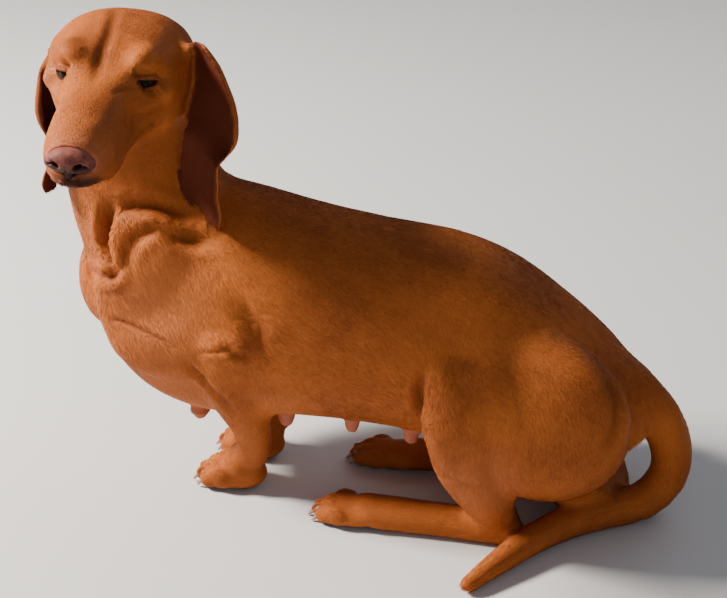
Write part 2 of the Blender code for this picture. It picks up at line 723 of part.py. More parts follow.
def zones():
    """Where the body is parted: each part's name and the solid that bounds it."""
    head = head_place() @ Matrix.Translation((0.056, 0, -0.016)) @ Matrix.Rotation(
        radians(36), 4, "Y")
    yield "head", guide(box("zone", (0.22, 0.20, 0.360),
                            head @ Matrix.Translation((-0.11, 0, 0.020))))
    neck = Matrix.Translation((-0.182, 0, 0.212)) @ Matrix.Rotation(radians(-30), 4, "Y")
    yield "neck", guide(box("zone", (0.24, 0.24, 0.16), neck @ Matrix.Translation((0, 0, 0.08))))
    for side, name in ((-1, "left"), (1, "right")):
        at, heading, width, height = PAWS["forepaw_" + name]
        yield "forepaw_" + name, guide(box("zone", (0.070, 0.060, 0.060), Matrix.Translation(
            (at[0] + 0.003, at[1], 0.004))))
        arm = [limb("arm", foreleg_rows(side, 0.006), (0, 1, 0), sides=20, steps=4, square=2.0),
               lump("top", (-0.128, side * 0.074, 0.140), (0.046, 0.030, 0.036), (0, 0, 0))]
        yield "foreleg_" + name, coarse("zone", arm)
        at = PAWS["hindpaw_" + name][0]
        yield "hindpaw_" + name, guide(box("zone", (0.060, 0.060, 0.060), Matrix.Translation(
            (at[0] - 0.010, at[1], 0.010))))
        knee = HINDLEG[side][0]
        leg = [limb("shin", shin_rows(side, 0.006), (0, 1, 0), sides=18, steps=4, square=2.0),
               limb("foot", foot_rows(side, 0.006), (0, 1, 0), sides=18, steps=4, square=2.1),
               lump("thigh", (0.098, knee[1] + side * 0.010, 0.088), (0.066, 0.042, 0.062),
                    (0, -14, 0)),
               lump("knee", (knee[0], knee[1] + side * 0.010, knee[2]), (0.036, 0.032, 0.046))]
        yield "hindleg_" + name, coarse("zone", leg)


def build():
    """Make every part of the dog."""
    clear_scene()
    core = fuse("core", trunk_pieces(), BODY_VOXEL, 16)
    root = limb("root", TAIL[:4], (0, 1, 0), sides=20, steps=4, square=2.0)
    torso = fuse("torso", [core, root] + limb_pieces() + head_pieces(), FINE_VOXEL, 7)
    press(torso, face_spots())
    thin_out(torso, BODY_FACES)
    floor = guide(box("floor", (1.0, 1.0, 0.1), Matrix.Translation((0, 0, -0.05))))
    combine(torso, floor, "DIFFERENCE")
    tail = limb("tail", TAIL[1:], (0, 1, 0), sides=14, steps=2, square=2.0)
    combine(tail, floor, "DIFFERENCE")
    keep_largest(tail)
    root_cut = Matrix.Translation((0.181, 0.037, 0.077)) @ Matrix.Rotation(radians(-35), 4, "Y")
    end = guide(box("end", (0.1, 0.1, 0.05), root_cut @ Matrix.Translation((0, 0, -0.025))))
    stub = guide(box("stub", (0.1, 0.1, 0.05),
                     root_cut @ Matrix.Translation((0, 0, 0.025 + GAP))))
    lying = coarse("lying", [limb("lying", TAIL[1:], (0, 1, 0), steps=3, square=2.0)], 0.003, 3)
    bed = grown(lying, 0.0016)
    combine(bed, stub, "DIFFERENCE")
    combine(torso, bed, "DIFFERENCE")
    combine(torso, end, "DIFFERENCE")
    keep_largest(torso)
    combine(tail, stub, "DIFFERENCE")
    keep_largest(tail)
    for used in (lying, bed):
        bpy.data.objects.remove(used, do_unlink=True)
    parts = {"tail": tail}
    for name, zone in zones():
        parts[name] = part_off(torso, name, zone)
    for cutter in (floor, end, stub):
        bpy.data.objects.remove(cutter, do_unlink=True)
    combine_all(torso, teats(torso), "UNION")
    keep_largest(torso)
    for name in PAWS:
        combine_all(parts[name], claws(name), "UNION")
        keep_largest(parts[name])
    parts["torso"] = torso
    carve_face(parts["head"])
    parts["nose"] = nose_and_bed(parts["head"])
    for side, name in ((-1, "eye_left"), (1, "eye_right")):
        parts[name] = lump(name, (0, 0, 0), [EYE_RADIUS] * 3, place=eye_place(side),
                           sides=EYE_SIDES)
    for name, (rows, faces_in) in EARS.items():
        parts[name] = leaf(name, rows, faces_in)
        slot = grown(parts[name], GAP)
        for touched in ("head", "neck", "torso"):
            combine(parts[touched], slot, "DIFFERENCE")
            keep_largest(parts[touched])
        bpy.data.objects.remove(slot, do_unlink=True)
    for name, part in parts.items():
        part.name = name
        part.data.name = name
        part.data.transform(Matrix.Translation(CENTRE))
        part.data.shade_smooth()
        finish(part, LOOKS.get(name, COAT))


build()
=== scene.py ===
# %% [markdown]
# # A smooth-haired dachshund, sitting
# The dog is a still, life-size model. Its solids are already made: this script
# loads them as a fixed frame and gives them their looks. It grows one skin over
# the flesh, lays a short coat on it, and adds eyes, nose leather and claws.
# Each step says what the thing is on a real dog before it makes it.

# %% Load the frame
import json
from math import cos, pi, radians, sin

import bpy
import numpy as np
from mathutils import Matrix, Vector
from mathutils.bvhtree import BVHTree

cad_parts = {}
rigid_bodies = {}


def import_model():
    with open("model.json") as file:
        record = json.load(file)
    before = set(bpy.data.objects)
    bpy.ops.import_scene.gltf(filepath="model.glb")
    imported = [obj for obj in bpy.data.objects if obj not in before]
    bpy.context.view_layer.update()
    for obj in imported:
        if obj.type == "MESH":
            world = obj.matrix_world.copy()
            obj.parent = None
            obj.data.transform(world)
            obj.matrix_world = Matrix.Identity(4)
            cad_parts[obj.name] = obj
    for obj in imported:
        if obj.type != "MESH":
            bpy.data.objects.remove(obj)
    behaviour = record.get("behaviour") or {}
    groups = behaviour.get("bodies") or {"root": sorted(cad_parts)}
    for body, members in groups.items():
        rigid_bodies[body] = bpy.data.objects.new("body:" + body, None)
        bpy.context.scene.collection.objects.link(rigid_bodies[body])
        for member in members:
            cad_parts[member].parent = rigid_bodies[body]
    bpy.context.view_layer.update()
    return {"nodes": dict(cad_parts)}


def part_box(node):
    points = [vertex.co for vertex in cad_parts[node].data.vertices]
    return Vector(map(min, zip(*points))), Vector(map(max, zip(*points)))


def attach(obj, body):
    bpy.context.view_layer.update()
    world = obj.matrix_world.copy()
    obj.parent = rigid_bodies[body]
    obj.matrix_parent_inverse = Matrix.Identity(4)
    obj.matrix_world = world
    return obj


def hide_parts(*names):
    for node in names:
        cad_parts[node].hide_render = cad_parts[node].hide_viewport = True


for old in list(bpy.data.objects):
    bpy.data.objects.remove(old, do_unlink=True)
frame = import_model()
nodes = frame["nodes"]

# %% [markdown]
# ## Places on the dog
# A head is easiest to shape in its own frame: the nose looks along -X, the left
# is -Y, and the origin lies midway between the eyes. One matrix then carries
# every point of the face to its place, whichever way the dog looks.

# %% Driving sizes
CENTRE = Vector((0.0192, 0.0266, 0.0))
HEAD_AT = CENTRE + Vector((-0.1771, -0.0672, 0.3259))
HEAD_TURN, HEAD_NOD, HEAD_TILT = 101.2, 5.6, 4.3
EYE_RADIUS = 0.0098
EYE_SPREAD = 0.0222          # from the middle of the face to each eye's centre
EYE_BACK = -0.0005
EYE_OUT = 26.0               # how far each eye looks out from straight ahead
COAT_DEPTH = 0.0010          # how far the skin lies inside the solids


def turned(angle, axis):
    """A rotation by degrees about one axis."""
    return Matrix.Rotation(radians(angle), 4, axis)


HEAD = (Matrix.Translation(HEAD_AT) @ turned(HEAD_TURN, "Z") @ turned(-HEAD_NOD, "Y")
        @ turned(HEAD_TILT, "X"))
EYES = {side: HEAD @ Matrix.Translation((EYE_BACK, side * EYE_SPREAD, 0.0))
        @ turned(side * -EYE_OUT, "Z") for side in (-1, 1)}


def body(x, y, z):
    """A point given from the dog's own middle."""
    return Vector((x, y, z)) + CENTRE


def on_head(x, y, z):
    """A point given in the head's frame."""
    return HEAD @ Vector((x, y, z))


print("between the eyes:", [round(v, 3) for v in HEAD_AT])

# %% [markdown]
# ## The camera
# The photograph was taken from the dog's front left, from a standing height.
# The camera comes early, because some folds are placed where its rays meet the skin.

# %% Camera
FRAME_WIDTH, FRAME_HEIGHT = 727, 598
FOCAL = 1530.0               # in pixels of that frame
CAMERA_AZIMUTH, CAMERA_RISE = 18.0, 26.0
CAMERA_AT = CENTRE + Vector((0.271, -0.916, 0.626))

azimuth, rise = radians(CAMERA_AZIMUTH), radians(CAMERA_RISE)
BACK = Vector((sin(azimuth) * cos(rise), -cos(azimuth) * cos(rise), sin(rise)))
RIGHT = Vector((cos(azimuth), sin(azimuth), 0))
UP = BACK.cross(RIGHT)
bpy.ops.object.camera_add(location=CAMERA_AT)
camera = bpy.context.active_object
camera.matrix_world = Matrix.Translation(CAMERA_AT) @ Matrix(
    (RIGHT, UP, BACK)).transposed().to_4x4()
camera.data.sensor_width = 36.0
camera.data.lens = 36.0 * FOCAL / FRAME_WIDTH
camera.data.clip_end = 100.0
bpy.context.scene.camera = camera


def ray_through(px, py):
    """The direction from the camera through a pixel of the photograph's frame."""
    return (-BACK + RIGHT * ((px - FRAME_WIDTH / 2) / FOCAL)
            - UP * ((py - FRAME_HEIGHT / 2) / FOCAL)).normalized()


# %% [markdown]
# ## Working by hand, in code
# An operator acts on what is selected, so these few helpers select one thing,
# apply a modifier, and read or write a mesh's points as an array.

# %% Helpers for objects
def pick(*objects):
    """Select only these objects, with the first one active."""
    bpy.ops.object.select_all(action="DESELECT")
    for obj in objects:
        obj.select_set(True)
    bpy.context.view_layer.objects.active = objects[0]


def copy_of(node):
    """A free copy of a node, with its loose triangles merged."""
    twin = nodes[node].copy()
    twin.data = nodes[node].data.copy()
    for key in list(twin.keys()):
        del twin[key]
    twin.parent = None
    twin.hide_render = False
    bpy.context.scene.collection.objects.link(twin)
    pick(twin)
    bpy.ops.object.mode_set(mode="EDIT")
    bpy.ops.mesh.select_all(action="SELECT")
    bpy.ops.mesh.remove_doubles(threshold=0.00001)
    bpy.ops.object.mode_set(mode="OBJECT")
    return twin


def apply_modifier(obj, kind, **settings):
    """Add a modifier, set it and apply it."""
    pick(obj)
    made = obj.modifiers.new(kind.lower(), kind)
    for key, value in settings.items():
        setattr(made, key, value)
    bpy.ops.object.modifier_apply(modifier=made.name)


def points_of(obj):
    """A mesh's points as an array."""
    flat = np.empty(len(obj.data.vertices) * 3)
    obj.data.vertices.foreach_get("co", flat)
    return flat.reshape(-1, 3)


def normals_of(obj):
    """A mesh's point normals as an array."""
    flat = np.empty(len(obj.data.vertices) * 3)
    obj.data.vertices.foreach_get("normal", flat)
    return flat.reshape(-1, 3)


def put_points(obj, points):
    """Write a mesh's points back."""
    obj.data.vertices.foreach_set("co", points.ravel())
    obj.data.update()


def place_primitive(obj, place):
    """Carry a primitive that was made at the origin into its place, in its mesh."""
    obj.data.transform(place)
    obj.data.update()
    return obj


def ball(name, place, size, segments=32, rings=20):
    """An ellipsoid from a sphere primitive."""
    bpy.ops.object.select_all(action="DESELECT")
    bpy.ops.mesh.primitive_uv_sphere_add(segments=segments, ring_count=rings, radius=1.0)
    made = bpy.context.active_object
    made.name = name
    made.data.name = name
    return place_primitive(made, place @ Matrix.Diagonal((*size, 1.0)))


# %% [markdown]
# ## The paws
# A dog's paw is a short palm with four arched toes set close, a cleft between
# each two, and a claw that leaves each toe low in front. The solids' paws have
# their claws fused on, so the skin's paws are shaped anew from balls, at the
# same places and sizes, and are fused into the skin with everything else.

# %% Paws
PAWS = {
    # place, heading, width, height
    "forepaw_left": (body(-0.121, -0.022, 0.0), 8.0, 0.040, 0.026),
    "forepaw_right": (body(-0.123, 0.023, 0.0), -4.0, 0.040, 0.026),
    "hindpaw_left": (body(-0.023, -0.043, 0.0), 0.0, 0.036, 0.0215),
    "hindpaw_right": (body(-0.021, 0.038, 0.0), 0.0, 0.036, 0.0215),
}
INSTEPS = {
    # balls that join a paw to its leg: place from the paw, then size
    "fore": (((0.0095, -0.0025, 0.0210), (0.0155, 0.0158, 0.0165)),
             ((0.0170, -0.0045, 0.0320), (0.0142, 0.0142, 0.0120))),
    "hind": (((0.0160, 0.0010, 0.0112), (0.0220, 0.0160, 0.0108)),),
}
TOES = (-1.0, -0.36, 0.36, 1.0)


def paw_place(name):
    """The frame of a paw, whose toes point along -X."""
    at, heading, _, _ = PAWS[name]
    return Matrix.Translation(at) @ turned(heading, "Z")


def toe_place(name, across):
    """The frame of one toe."""
    width = PAWS[name][2]
    return (paw_place(name) @ Matrix.Translation((-0.0155 + 0.0055 * across ** 2,
                                                  across * width * 0.335, 0))
            @ turned(across * 9, "Z"))


def paw_pieces(name):
    """The balls that a paw is fused from."""
    _, _, width, height = PAWS[name]
    made = [ball("palm", paw_place(name) @ Matrix.Translation((0.004, 0, height * 0.40)),
                 (0.022, width * 0.44, height * 0.52))]
    for at, size in INSTEPS[name[:4]]:
        side = 1 if name.endswith("left") else -1
        made.append(ball("instep", Matrix.Translation(PAWS[name][0] + Vector(
            (at[0], at[1] * side, at[2]))), size))
    for across in TOES:
        place = toe_place(name, across)
        made.append(ball("knuckle", place @ Matrix.Translation((0.0035, 0, height * 0.44)),
                         (0.0105, width * 0.138, height * 0.40)))
        made.append(ball("toe_tip", place @ Matrix.Translation((-0.0060, 0, height * 0.29)),
                         (0.0078, width * 0.132, height * 0.29)))
    return made


paw_balls = [piece for name in PAWS for piece in paw_pieces(name)]
print("balls in the paws:", len(paw_balls))

# %% [markdown]
# ## One skin
# The solids are parted with thin cuts. Here copies of them are swollen by a hair
# so that they overlap, joined, and remeshed into one closed skin. The eyes'
# sockets are plugged first, because the lids are shaped afterwards. A fine grid
# is kept on the head, ears and paws, and the plain body is thinned.

# %% Fuse the skin
FLESH = ["torso", "neck", "head", "foreleg_left", "foreleg_right", "hindleg_left",
         "hindleg_right", "tail", "ear_left", "ear_right"]
SWELL = 0.0004
SKIN_GRID = 0.0016
SKIN_TRIANGLES = 150000      # after thinning

pieces = [copy_of(node) for node in FLESH]
for piece in pieces:
    if not piece.name.startswith("ear"):
        apply_modifier(piece, "DISPLACE", strength=SWELL, mid_level=0.0)
plugs = [ball("plug", EYES[side], [EYE_RADIUS + 0.0016] * 3) for side in (-1, 1)]
EAR_ROOTS = (
    # balls that carry the skin smoothly from the skull to the ears, in the head's frame
    ((0.0345, -0.0400, 0.0060), 0.0075), ((0.0310, -0.0465, 0.0085), 0.0050),
    ((0.0600, 0.0400, -0.0255), 0.0060),
)
plugs += [ball("plug", Matrix.Translation(on_head(*at)), [radius] * 3)
          for at, radius in EAR_ROOTS]
skin = pieces[0]
pick(skin, *pieces[1:], *plugs, *paw_balls)
bpy.ops.object.join()
skin.name = "skin"
skin.data.name = "skin"
apply_modifier(skin, "REMESH", mode="VOXEL", voxel_size=SKIN_GRID)
print("fused skin:", len(skin.data.polygons), "faces")

# %% [markdown]
# The ears are thin, so they must not be smoothed away. A weight for each point
# says how much it may relax: little on the ears, fully on the body, where the
# cuts between the solids still show as faint grooves.

# %% Where the skin is what
def nearest(points, path):
    """Distance from points to a run of straight pieces, and how far along it they are."""
    best = np.full(len(points), 9.0)
    along = np.zeros(len(points))
    for i, (a, b) in enumerate(zip(path, path[1:])):
        a, b = np.array(a), np.array(b)
        t = np.clip((points - a) @ (b - a) / ((b - a) @ (b - a)), 0, 1)
        gap = np.linalg.norm(points - a - t[:, None] * (b - a), axis=1)
        closer = gap < best
        best[closer] = gap[closer]
        along[closer] = i + t[closer]
    return best, along


def smoothstep(value, low, high):
    """0 below low, 1 above high and smooth between."""
    t = np.clip((value - low) / (high - low), 0, 1)
    return t * t * (3 - 2 * t)


def in_frame(points, place):
    """Points in the coordinates of a frame."""
    inverse = np.array(place.inverted())
    return points @ inverse[:3, :3].T + inverse[:3, 3]


def ear_share(points):
    """1 on the ears' leather, falling to 0 where they join the head."""
    share = np.zeros(len(points))
    for ear in ("ear_left", "ear_right"):
        low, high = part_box(ear)
        inside = np.all((points > np.array(low) - 0.002) & (points < np.array(high) + 0.002),
                        axis=1)
        where = np.flatnonzero(inside)
        if len(where) == 0:
            continue
        tree = BVHTree.FromPolygons([v.co for v in nodes[ear].data.vertices],
                                    [p.vertices for p in nodes[ear].data.polygons])
        for i in where:
            found = tree.find_nearest(Vector(points[i]), 0.0022)
            if found[0] is not None:
                share[i] = 1.0
    return share


points = points_of(skin)
on_ear = ear_share(points)
head_points = in_frame(points, HEAD)
near_head = 1 - smoothstep(np.linalg.norm((head_points - (-0.015, 0, -0.012)) / (1, 0.8, 1),
                                          axis=1), 0.070, 0.085)
near_paw = np.zeros(len(points))
for name in PAWS:
    gap = np.linalg.norm(points - np.array(PAWS[name][0]), axis=1)
    near_paw = np.maximum(near_paw, 1 - smoothstep(gap, 0.034, 0.040))
TEAT_PLACES = [body(x, side * 0.026 + 0.004, 0.055) for x in (-0.146, -0.078, -0.028, 0.016)
               for side in (-1, 1)]


def teat_share(points):
    """1 on the teats, falling to 0 on the belly round them."""
    share = np.zeros(len(points))
    for place in TEAT_PLACES:
        gap = np.linalg.norm((points - np.array(place))[:, :2], axis=1)
        low = (points[:, 2] < 0.075) & (points[:, 2] > 0.036)
        share = np.maximum(share, (1 - smoothstep(gap, 0.0055, 0.0085)) * low)
    return share


keep_fine = np.maximum.reduce([on_ear, near_head, near_paw, teat_share(points)])
print("points on the ears:", int(on_ear.sum()), "kept fine:", int((keep_fine > 0.5).sum()))


# %% Relax and thin the skin
def weigh(obj, name, shares):
    """A vertex group with a weight for each point."""
    group = obj.vertex_groups.new(name=name)
    for i, share in enumerate(shares):
        group.add([i], float(share), "REPLACE")


def relax(obj, shares, rounds):
    """Smooth a mesh by a share for each point."""
    weigh(obj, "relax", shares)
    apply_modifier(obj, "SMOOTH", factor=0.5, iterations=rounds, vertex_group="relax")
    obj.vertex_groups.clear()


relax(skin, np.clip(1 - 0.58 * on_ear - 0.6 * near_paw - 0.72 * teat_share(points), 0.0, 1), 14)
relax(skin, (1 - keep_fine) * smoothstep(points[:, 2], 0.02, 0.05), 24)
tail_root = np.linalg.norm(points - np.array(body(0.158, 0.032, 0.105)), axis=1)
relax(skin, 1 - smoothstep(tail_root, 0.020, 0.045), 40)
apply_modifier(skin, "SMOOTH", factor=0.5, iterations=2)
points = in_frame(points_of(skin), HEAD)
inner_corner = np.zeros(len(points))
for side in (-1, 1):
    gap = np.linalg.norm(points - (-0.012, side * 0.0150, 0.002), axis=1)
    inner_corner = np.maximum(inner_corner, 1 - smoothstep(gap, 0.006, 0.013))
relax(skin, inner_corner, 22)
weigh(skin, "plain", np.where(keep_fine < 0.5, 1.0, 0.9))
apply_modifier(skin, "TRIANGULATE")
apply_modifier(skin, "DECIMATE", ratio=SKIN_TRIANGLES / len(skin.data.polygons),
               vertex_group="plain")
skin.vertex_groups.clear()
print("thinned skin:", len(skin.data.polygons), "triangles")

# %% [markdown]
# ## Finer where it matters
# Lids and lips are only a millimetre or two thick, so the faces round the eyes
# and along the mouth are split again before they are shaped.

# %% Split faces near the eyes and the mouth
EYE_REACH = 0.0150


def tree_of(obj):
    """A search tree of an object's surface."""
    return BVHTree.FromPolygons([v.co for v in obj.data.vertices],
                                [p.vertices for p in obj.data.polygons])


def split_near(obj, near, times=1):
    """Subdivide the faces whose points all satisfy a test of their places."""
    for _ in range(times):
        chosen = near(points_of(obj))
        corners = np.empty(len(obj.data.loops), int)
        obj.data.loops.foreach_get("vertex_index", corners)
        sizes = np.empty(len(obj.data.polygons), int)
        obj.data.polygons.foreach_get("loop_total", sizes)
        owner = np.repeat(np.arange(len(sizes)), sizes)
        hits = np.bincount(owner, weights=chosen[corners], minlength=len(sizes))
        pick(obj)
        bpy.ops.object.mode_set(mode="EDIT")
        bpy.ops.mesh.select_mode(type="FACE")
        bpy.ops.mesh.select_all(action="DESELECT")
        bpy.ops.object.mode_set(mode="OBJECT")
        obj.data.polygons.foreach_set("select", hits == sizes)
        bpy.ops.object.mode_set(mode="EDIT")
        bpy.ops.mesh.subdivide(number_cuts=1, smoothness=0.0)
        bpy.ops.mesh.quads_convert_to_tris()
        bpy.ops.object.mode_set(mode="OBJECT")


def near_eyes(points):
    """True for points close to an eye."""
    return np.minimum(*[np.linalg.norm(points - np.array(EYES[side].translation), axis=1)
                        for side in (-1, 1)]) < EYE_REACH


skin_tree = tree_of(skin)


def on_skin_from(at, way):
    """Where a line in the head's frame first meets the skin."""
    hit = skin_tree.ray_cast(on_head(*at), (HEAD.to_3x3() @ Vector(way)).normalized())
    return hit[0]


def where_seen(px, py):
    """Where the camera's ray through a pixel of the photograph meets the skin."""
    return skin_tree.ray_cast(CAMERA_AT, ray_through(px, py))[0]


def mouth_line(side):
    """The line between the lips on one side, from the front to the corner."""
    starts = (((-0.140, side * 0.0010, -0.0350), (1, 0, 0)),
              ((-0.120, side * 0.0400, -0.0360), (0.65, side * -0.75, 0)),
              ((-0.078, side * 0.0700, -0.0385), (0, -side, 0)),
              ((-0.060, side * 0.0700, -0.0405), (0, -side, 0)),
              ((-0.040, side * 0.0700, -0.0395), (0, -side, 0)),
              ((-0.022, side * 0.0700, -0.0360), (0, -side, 0)),
              ((-0.014, side * 0.0700, -0.0325), (0, -side, 0)))
    return [on_skin_from(at, way) for at, way in starts]


CHEEK_STEP = np.array(where_seen(181, 119))      # where the near ear leaves the cheek
points = points_of(skin)
relax(skin, 1 - smoothstep(np.linalg.norm(points - CHEEK_STEP, axis=1), 0.004, 0.009), 16)
MOUTH = {side: mouth_line(side) for side in (-1, 1)}
CHEST_FOLD = ((106, 318), (118, 321), (130, 326), (146, 333), (162, 341), (178, 350))
ELBOW_FOLD = ((198, 353), (209, 353), (220, 351), (231, 346))
THROAT_FOLD = ((88, 273), (98, 277), (110, 277), (118, 271))
FINE_FOLDS = [[where_seen(*pixel) for pixel in line]
              for line in (CHEST_FOLD, ELBOW_FOLD, THROAT_FOLD)]
split_near(skin, near_eyes, times=2)
split_near(skin, lambda p: np.minimum(*[nearest(p, MOUTH[side])[0] for side in (-1, 1)])
           < 0.0055)
split_near(skin, lambda p: np.minimum.reduce([nearest(p, line)[0] for line in FINE_FOLDS])
           < 0.0100)
apply_modifier(skin, "TRIANGULATE")
points = points_of(skin)
fold_gap = np.minimum.reduce([nearest(points, line)[0] for line in FINE_FOLDS])
relax(skin, 1 - smoothstep(fold_gap, 0.013, 0.018), 5)
print("skin with fine lids and lips:", len(skin.data.polygons), "triangles")

# %% [markdown]
# ## Shaping the skin
# Three strokes do most of the modelling, as they would with a sculpting brush:
# one raises or sinks the skin round a point, one cuts a crease along a line and
# raises its banks, and one pulls a loose roll out over its neighbour.

# %% Sculpting strokes
def press(at, reach, amount, way=None):
    """Raise the skin round a point, or sink it where the amount is negative."""
    points, normals = points_of(skin), normals_of(skin)
    gap = np.linalg.norm(points - np.array(at), axis=1)
    along = normals if way is None else np.array(Vector(way).normalized())
    put_points(skin, points + (amount * np.exp(-(gap / reach) ** 2))[:, None] * along)


# How deep each point lies in a crease: the tufts are shorter there, and the coat is painted darker
# there as painted shade.
fold_depth_and_shade = np.zeros(len(skin.data.vertices))     # how deep each point lies in a crease


def crease(path, width, depth, banks=0.45):
    """Cut a crease along a line, fading at its ends, with raised banks."""
    points, normals = points_of(skin), normals_of(skin)
    gap, along = nearest(points, path)
    fade = np.sin(pi * np.clip(along / (len(path) - 1), 0.02, 0.98)) ** 0.6
    valley = -np.exp(-(gap / width) ** 2)
    bank = banks * np.exp(-((gap - 2.1 * width) / width) ** 2)
    put_points(skin, points + (depth * fade * (valley + bank))[:, None] * normals)
    fold_depth_and_shade[:] = np.maximum(fold_depth_and_shade, -valley * fade * min(1.0, depth / 0.002))


def roll(path, width, height):
    """Raise a rounded roll of loose skin along a line."""
    points, normals = points_of(skin), normals_of(skin)
    gap, along = nearest(points, path)
    fade = np.sin(pi * np.clip(along / (len(path) - 1), 0.0, 1.0)) ** 0.7
    put_points(skin, points + (height * fade * np.exp(-(gap / width) ** 2))[:, None] * normals)


def seen(*pixels):
    """A line on the skin through pixels of the photograph, leaving out any that miss."""
    return [hit for hit in (where_seen(*pixel) for pixel in pixels) if hit is not None]


# %% [markdown]
# ### Head
# The skull is domed, the brow hangs a little over the eye, the cheek is full
# below it, and the muzzle is fine with a soft pad of whisker skin on each side.
# A furrow runs up the forehead, as the photograph shows.

# %% Forms of the head
for side in (-1, 1):
    press(on_head(-0.0085, side * 0.0230, 0.0135), 0.0085, 0.0010)      # brow
    press(on_head(0.0120, side * 0.0390, -0.0020), 0.0095, 0.0012)      # arch of the cheek
    press(on_head(-0.0300, side * 0.0230, -0.0160), 0.0110, -0.0014)    # under the eye
    press(on_head(-0.0700, side * 0.0200, -0.0270), 0.0110, 0.0018)     # whisker pad
    press(on_head(-0.0440, side * 0.0200, -0.0310), 0.0110, 0.0012)     # flew
    press(on_head(-0.0600, side * 0.0100, 0.0020), 0.0090, -0.0007)     # beside the bridge
press(on_head(-0.0150, 0, 0.0120), 0.0090, -0.0003)                     # stop
press(on_head(-0.0720, 0, -0.0460), 0.0080, 0.0010)                     # chin
press(where_seen(84, 55), 0.0095, 0.0016)                               # brow of the far eye

FURROW = seen((116, 8), (112, 20), (108, 34), (103, 48), (99, 62), (93, 82))
crease(FURROW, 0.0033, 0.0018, banks=0.15)
crease(seen((134, 86), (126, 87), (119, 90), (114, 94)), 0.0015, 0.0009, banks=0.2)
for side in (-1, 1):
    crease([on_skin_from((x, side * 0.08, z), (0, -side, 0)) for x, z in
            ((-0.004, -0.016), (-0.016, -0.018), (-0.028, -0.016))], 0.0022, 0.0007)

# %% [markdown]
# ### Lids
# A lid is a fold of skin that slides over the eyeball, so it is shaped in the
# eyeball's own frame: each point close to the eye is moved to the radius that a
# lid has there. Inside the opening the skin drops behind the eyeball.

# %% Lids
LID_THICK = 0.0013
OPEN_HALF = radians(49)      # half the width of the opening, seen from the eyeball's centre
OPEN_IN = radians(6)         # how far the opening is set towards the nose
OPEN_UP = radians(9.0)
OPEN_DOWN = radians(8.0)
OPEN_TURN = {-1: radians(2), 1: radians(-2)}


def outside_opening(local, side):
    """Signed distance from the edge of the lids, and the part above (1) or below (-1)."""
    turn = OPEN_TURN[side]
    y = local[:, 1] * cos(turn) + local[:, 2] * sin(turn)
    z = local[:, 2] * cos(turn) - local[:, 1] * sin(turn)
    across = np.arctan2(y, -local[:, 0]) + side * OPEN_IN
    rise = np.arctan2(z, np.hypot(local[:, 0], y))
    arch = np.clip(1 - (across / OPEN_HALF) ** 2, 0, 1)
    upper = rise - OPEN_UP * arch ** 0.6
    lower = -OPEN_DOWN * arch ** 0.5 - rise
    within = np.maximum(upper, lower)
    beyond = np.hypot(np.maximum(np.abs(across) - OPEN_HALF, 0), np.maximum(within, 0))
    gap = np.where(np.abs(across) < OPEN_HALF, within, beyond)
    return gap * (EYE_RADIUS + LID_THICK), np.where(upper > lower, 1, -1)


def lid_gap(points):
    """Signed distance of points from the nearer eye's opening, over 9 mm where far."""
    best = np.full(len(points), 0.02)
    part = np.ones(len(points))
    for side in (-1, 1):
        local = in_frame(points, EYES[side])
        close = (np.linalg.norm(local, axis=1) < EYE_REACH + 0.002) & (local[:, 0] < 0.001)
        gap, above = outside_opening(local, side)
        use = close & (gap < best)
        best[use] = gap[use]
        part[use] = above[use]
    return best, part


def shape_lids(side):
    """Move the skin round one eye to the radius of its lids."""
    points = points_of(skin)
    local = in_frame(points, EYES[side])
    radius = np.linalg.norm(local, axis=1)
    close = (radius < EYE_REACH + 0.002) & (local[:, 0] < 0.0015)
    gap, part = outside_opening(local, side)
    lid = EYE_RADIUS + LID_THICK + 0.0003 * np.exp(-((gap - 0.0010) / 0.0008) ** 2)
    lid = lid + np.where(part > 0, 0.0005, 0.0002) * np.exp(-((gap - 0.0022) / 0.0012) ** 2)
    lid = lid - np.where(part > 0, 0.0007, 0.0004) * np.exp(-((gap - 0.0046) / 0.0009) ** 2)
    behind = EYE_RADIUS - 0.0016
    target = behind + (lid - behind) * smoothstep(gap, -0.0004, 0.0004)
    away = smoothstep(gap, 0.0035, 0.0085)
    target = target * (1 - away) + radius * away
    inverse = np.array(EYES[side])
    moved = local * (target / np.maximum(radius, 1e-6))[:, None]
    moved = moved @ inverse[:3, :3].T + inverse[:3, 3]
    points[close] = moved[close]
    put_points(skin, points)


for side in (-1, 1):
    shape_lids(side)

# %% [markdown]
# ### Mouth
# The lips meet in a thin dark line. The upper lip hangs a little over the lower,
# so the crease is cut first and the skin above it is then swollen outwards.

# %% Mouth
for side in (-1, 1):
    crease(MOUTH[side], 0.0011, 0.0020, banks=0.25)
    points, normals = points_of(skin), normals_of(skin)
    gap, along = nearest(points, MOUTH[side])
    above = in_frame(points, HEAD)[:, 2]
    line_height = np.interp(along, range(len(MOUTH[side])),
                            [in_frame(np.array([p]), HEAD)[0][2] for p in MOUTH[side]])
    hang = np.exp(-(((above - line_height) - 0.0028) / 0.0024) ** 2) * (gap < 0.008)
    put_points(skin, points + 0.0010 * hang[:, None] * normals)

# %% [markdown]
# ### Neck, chest and legs
# A dachshund's skin is loose. It rolls at the throat where the head turns, and
# creases in front of the shoulder, at the elbow and in the groin. The lines are
# placed by the photograph, and the far side gets its own in the same places.

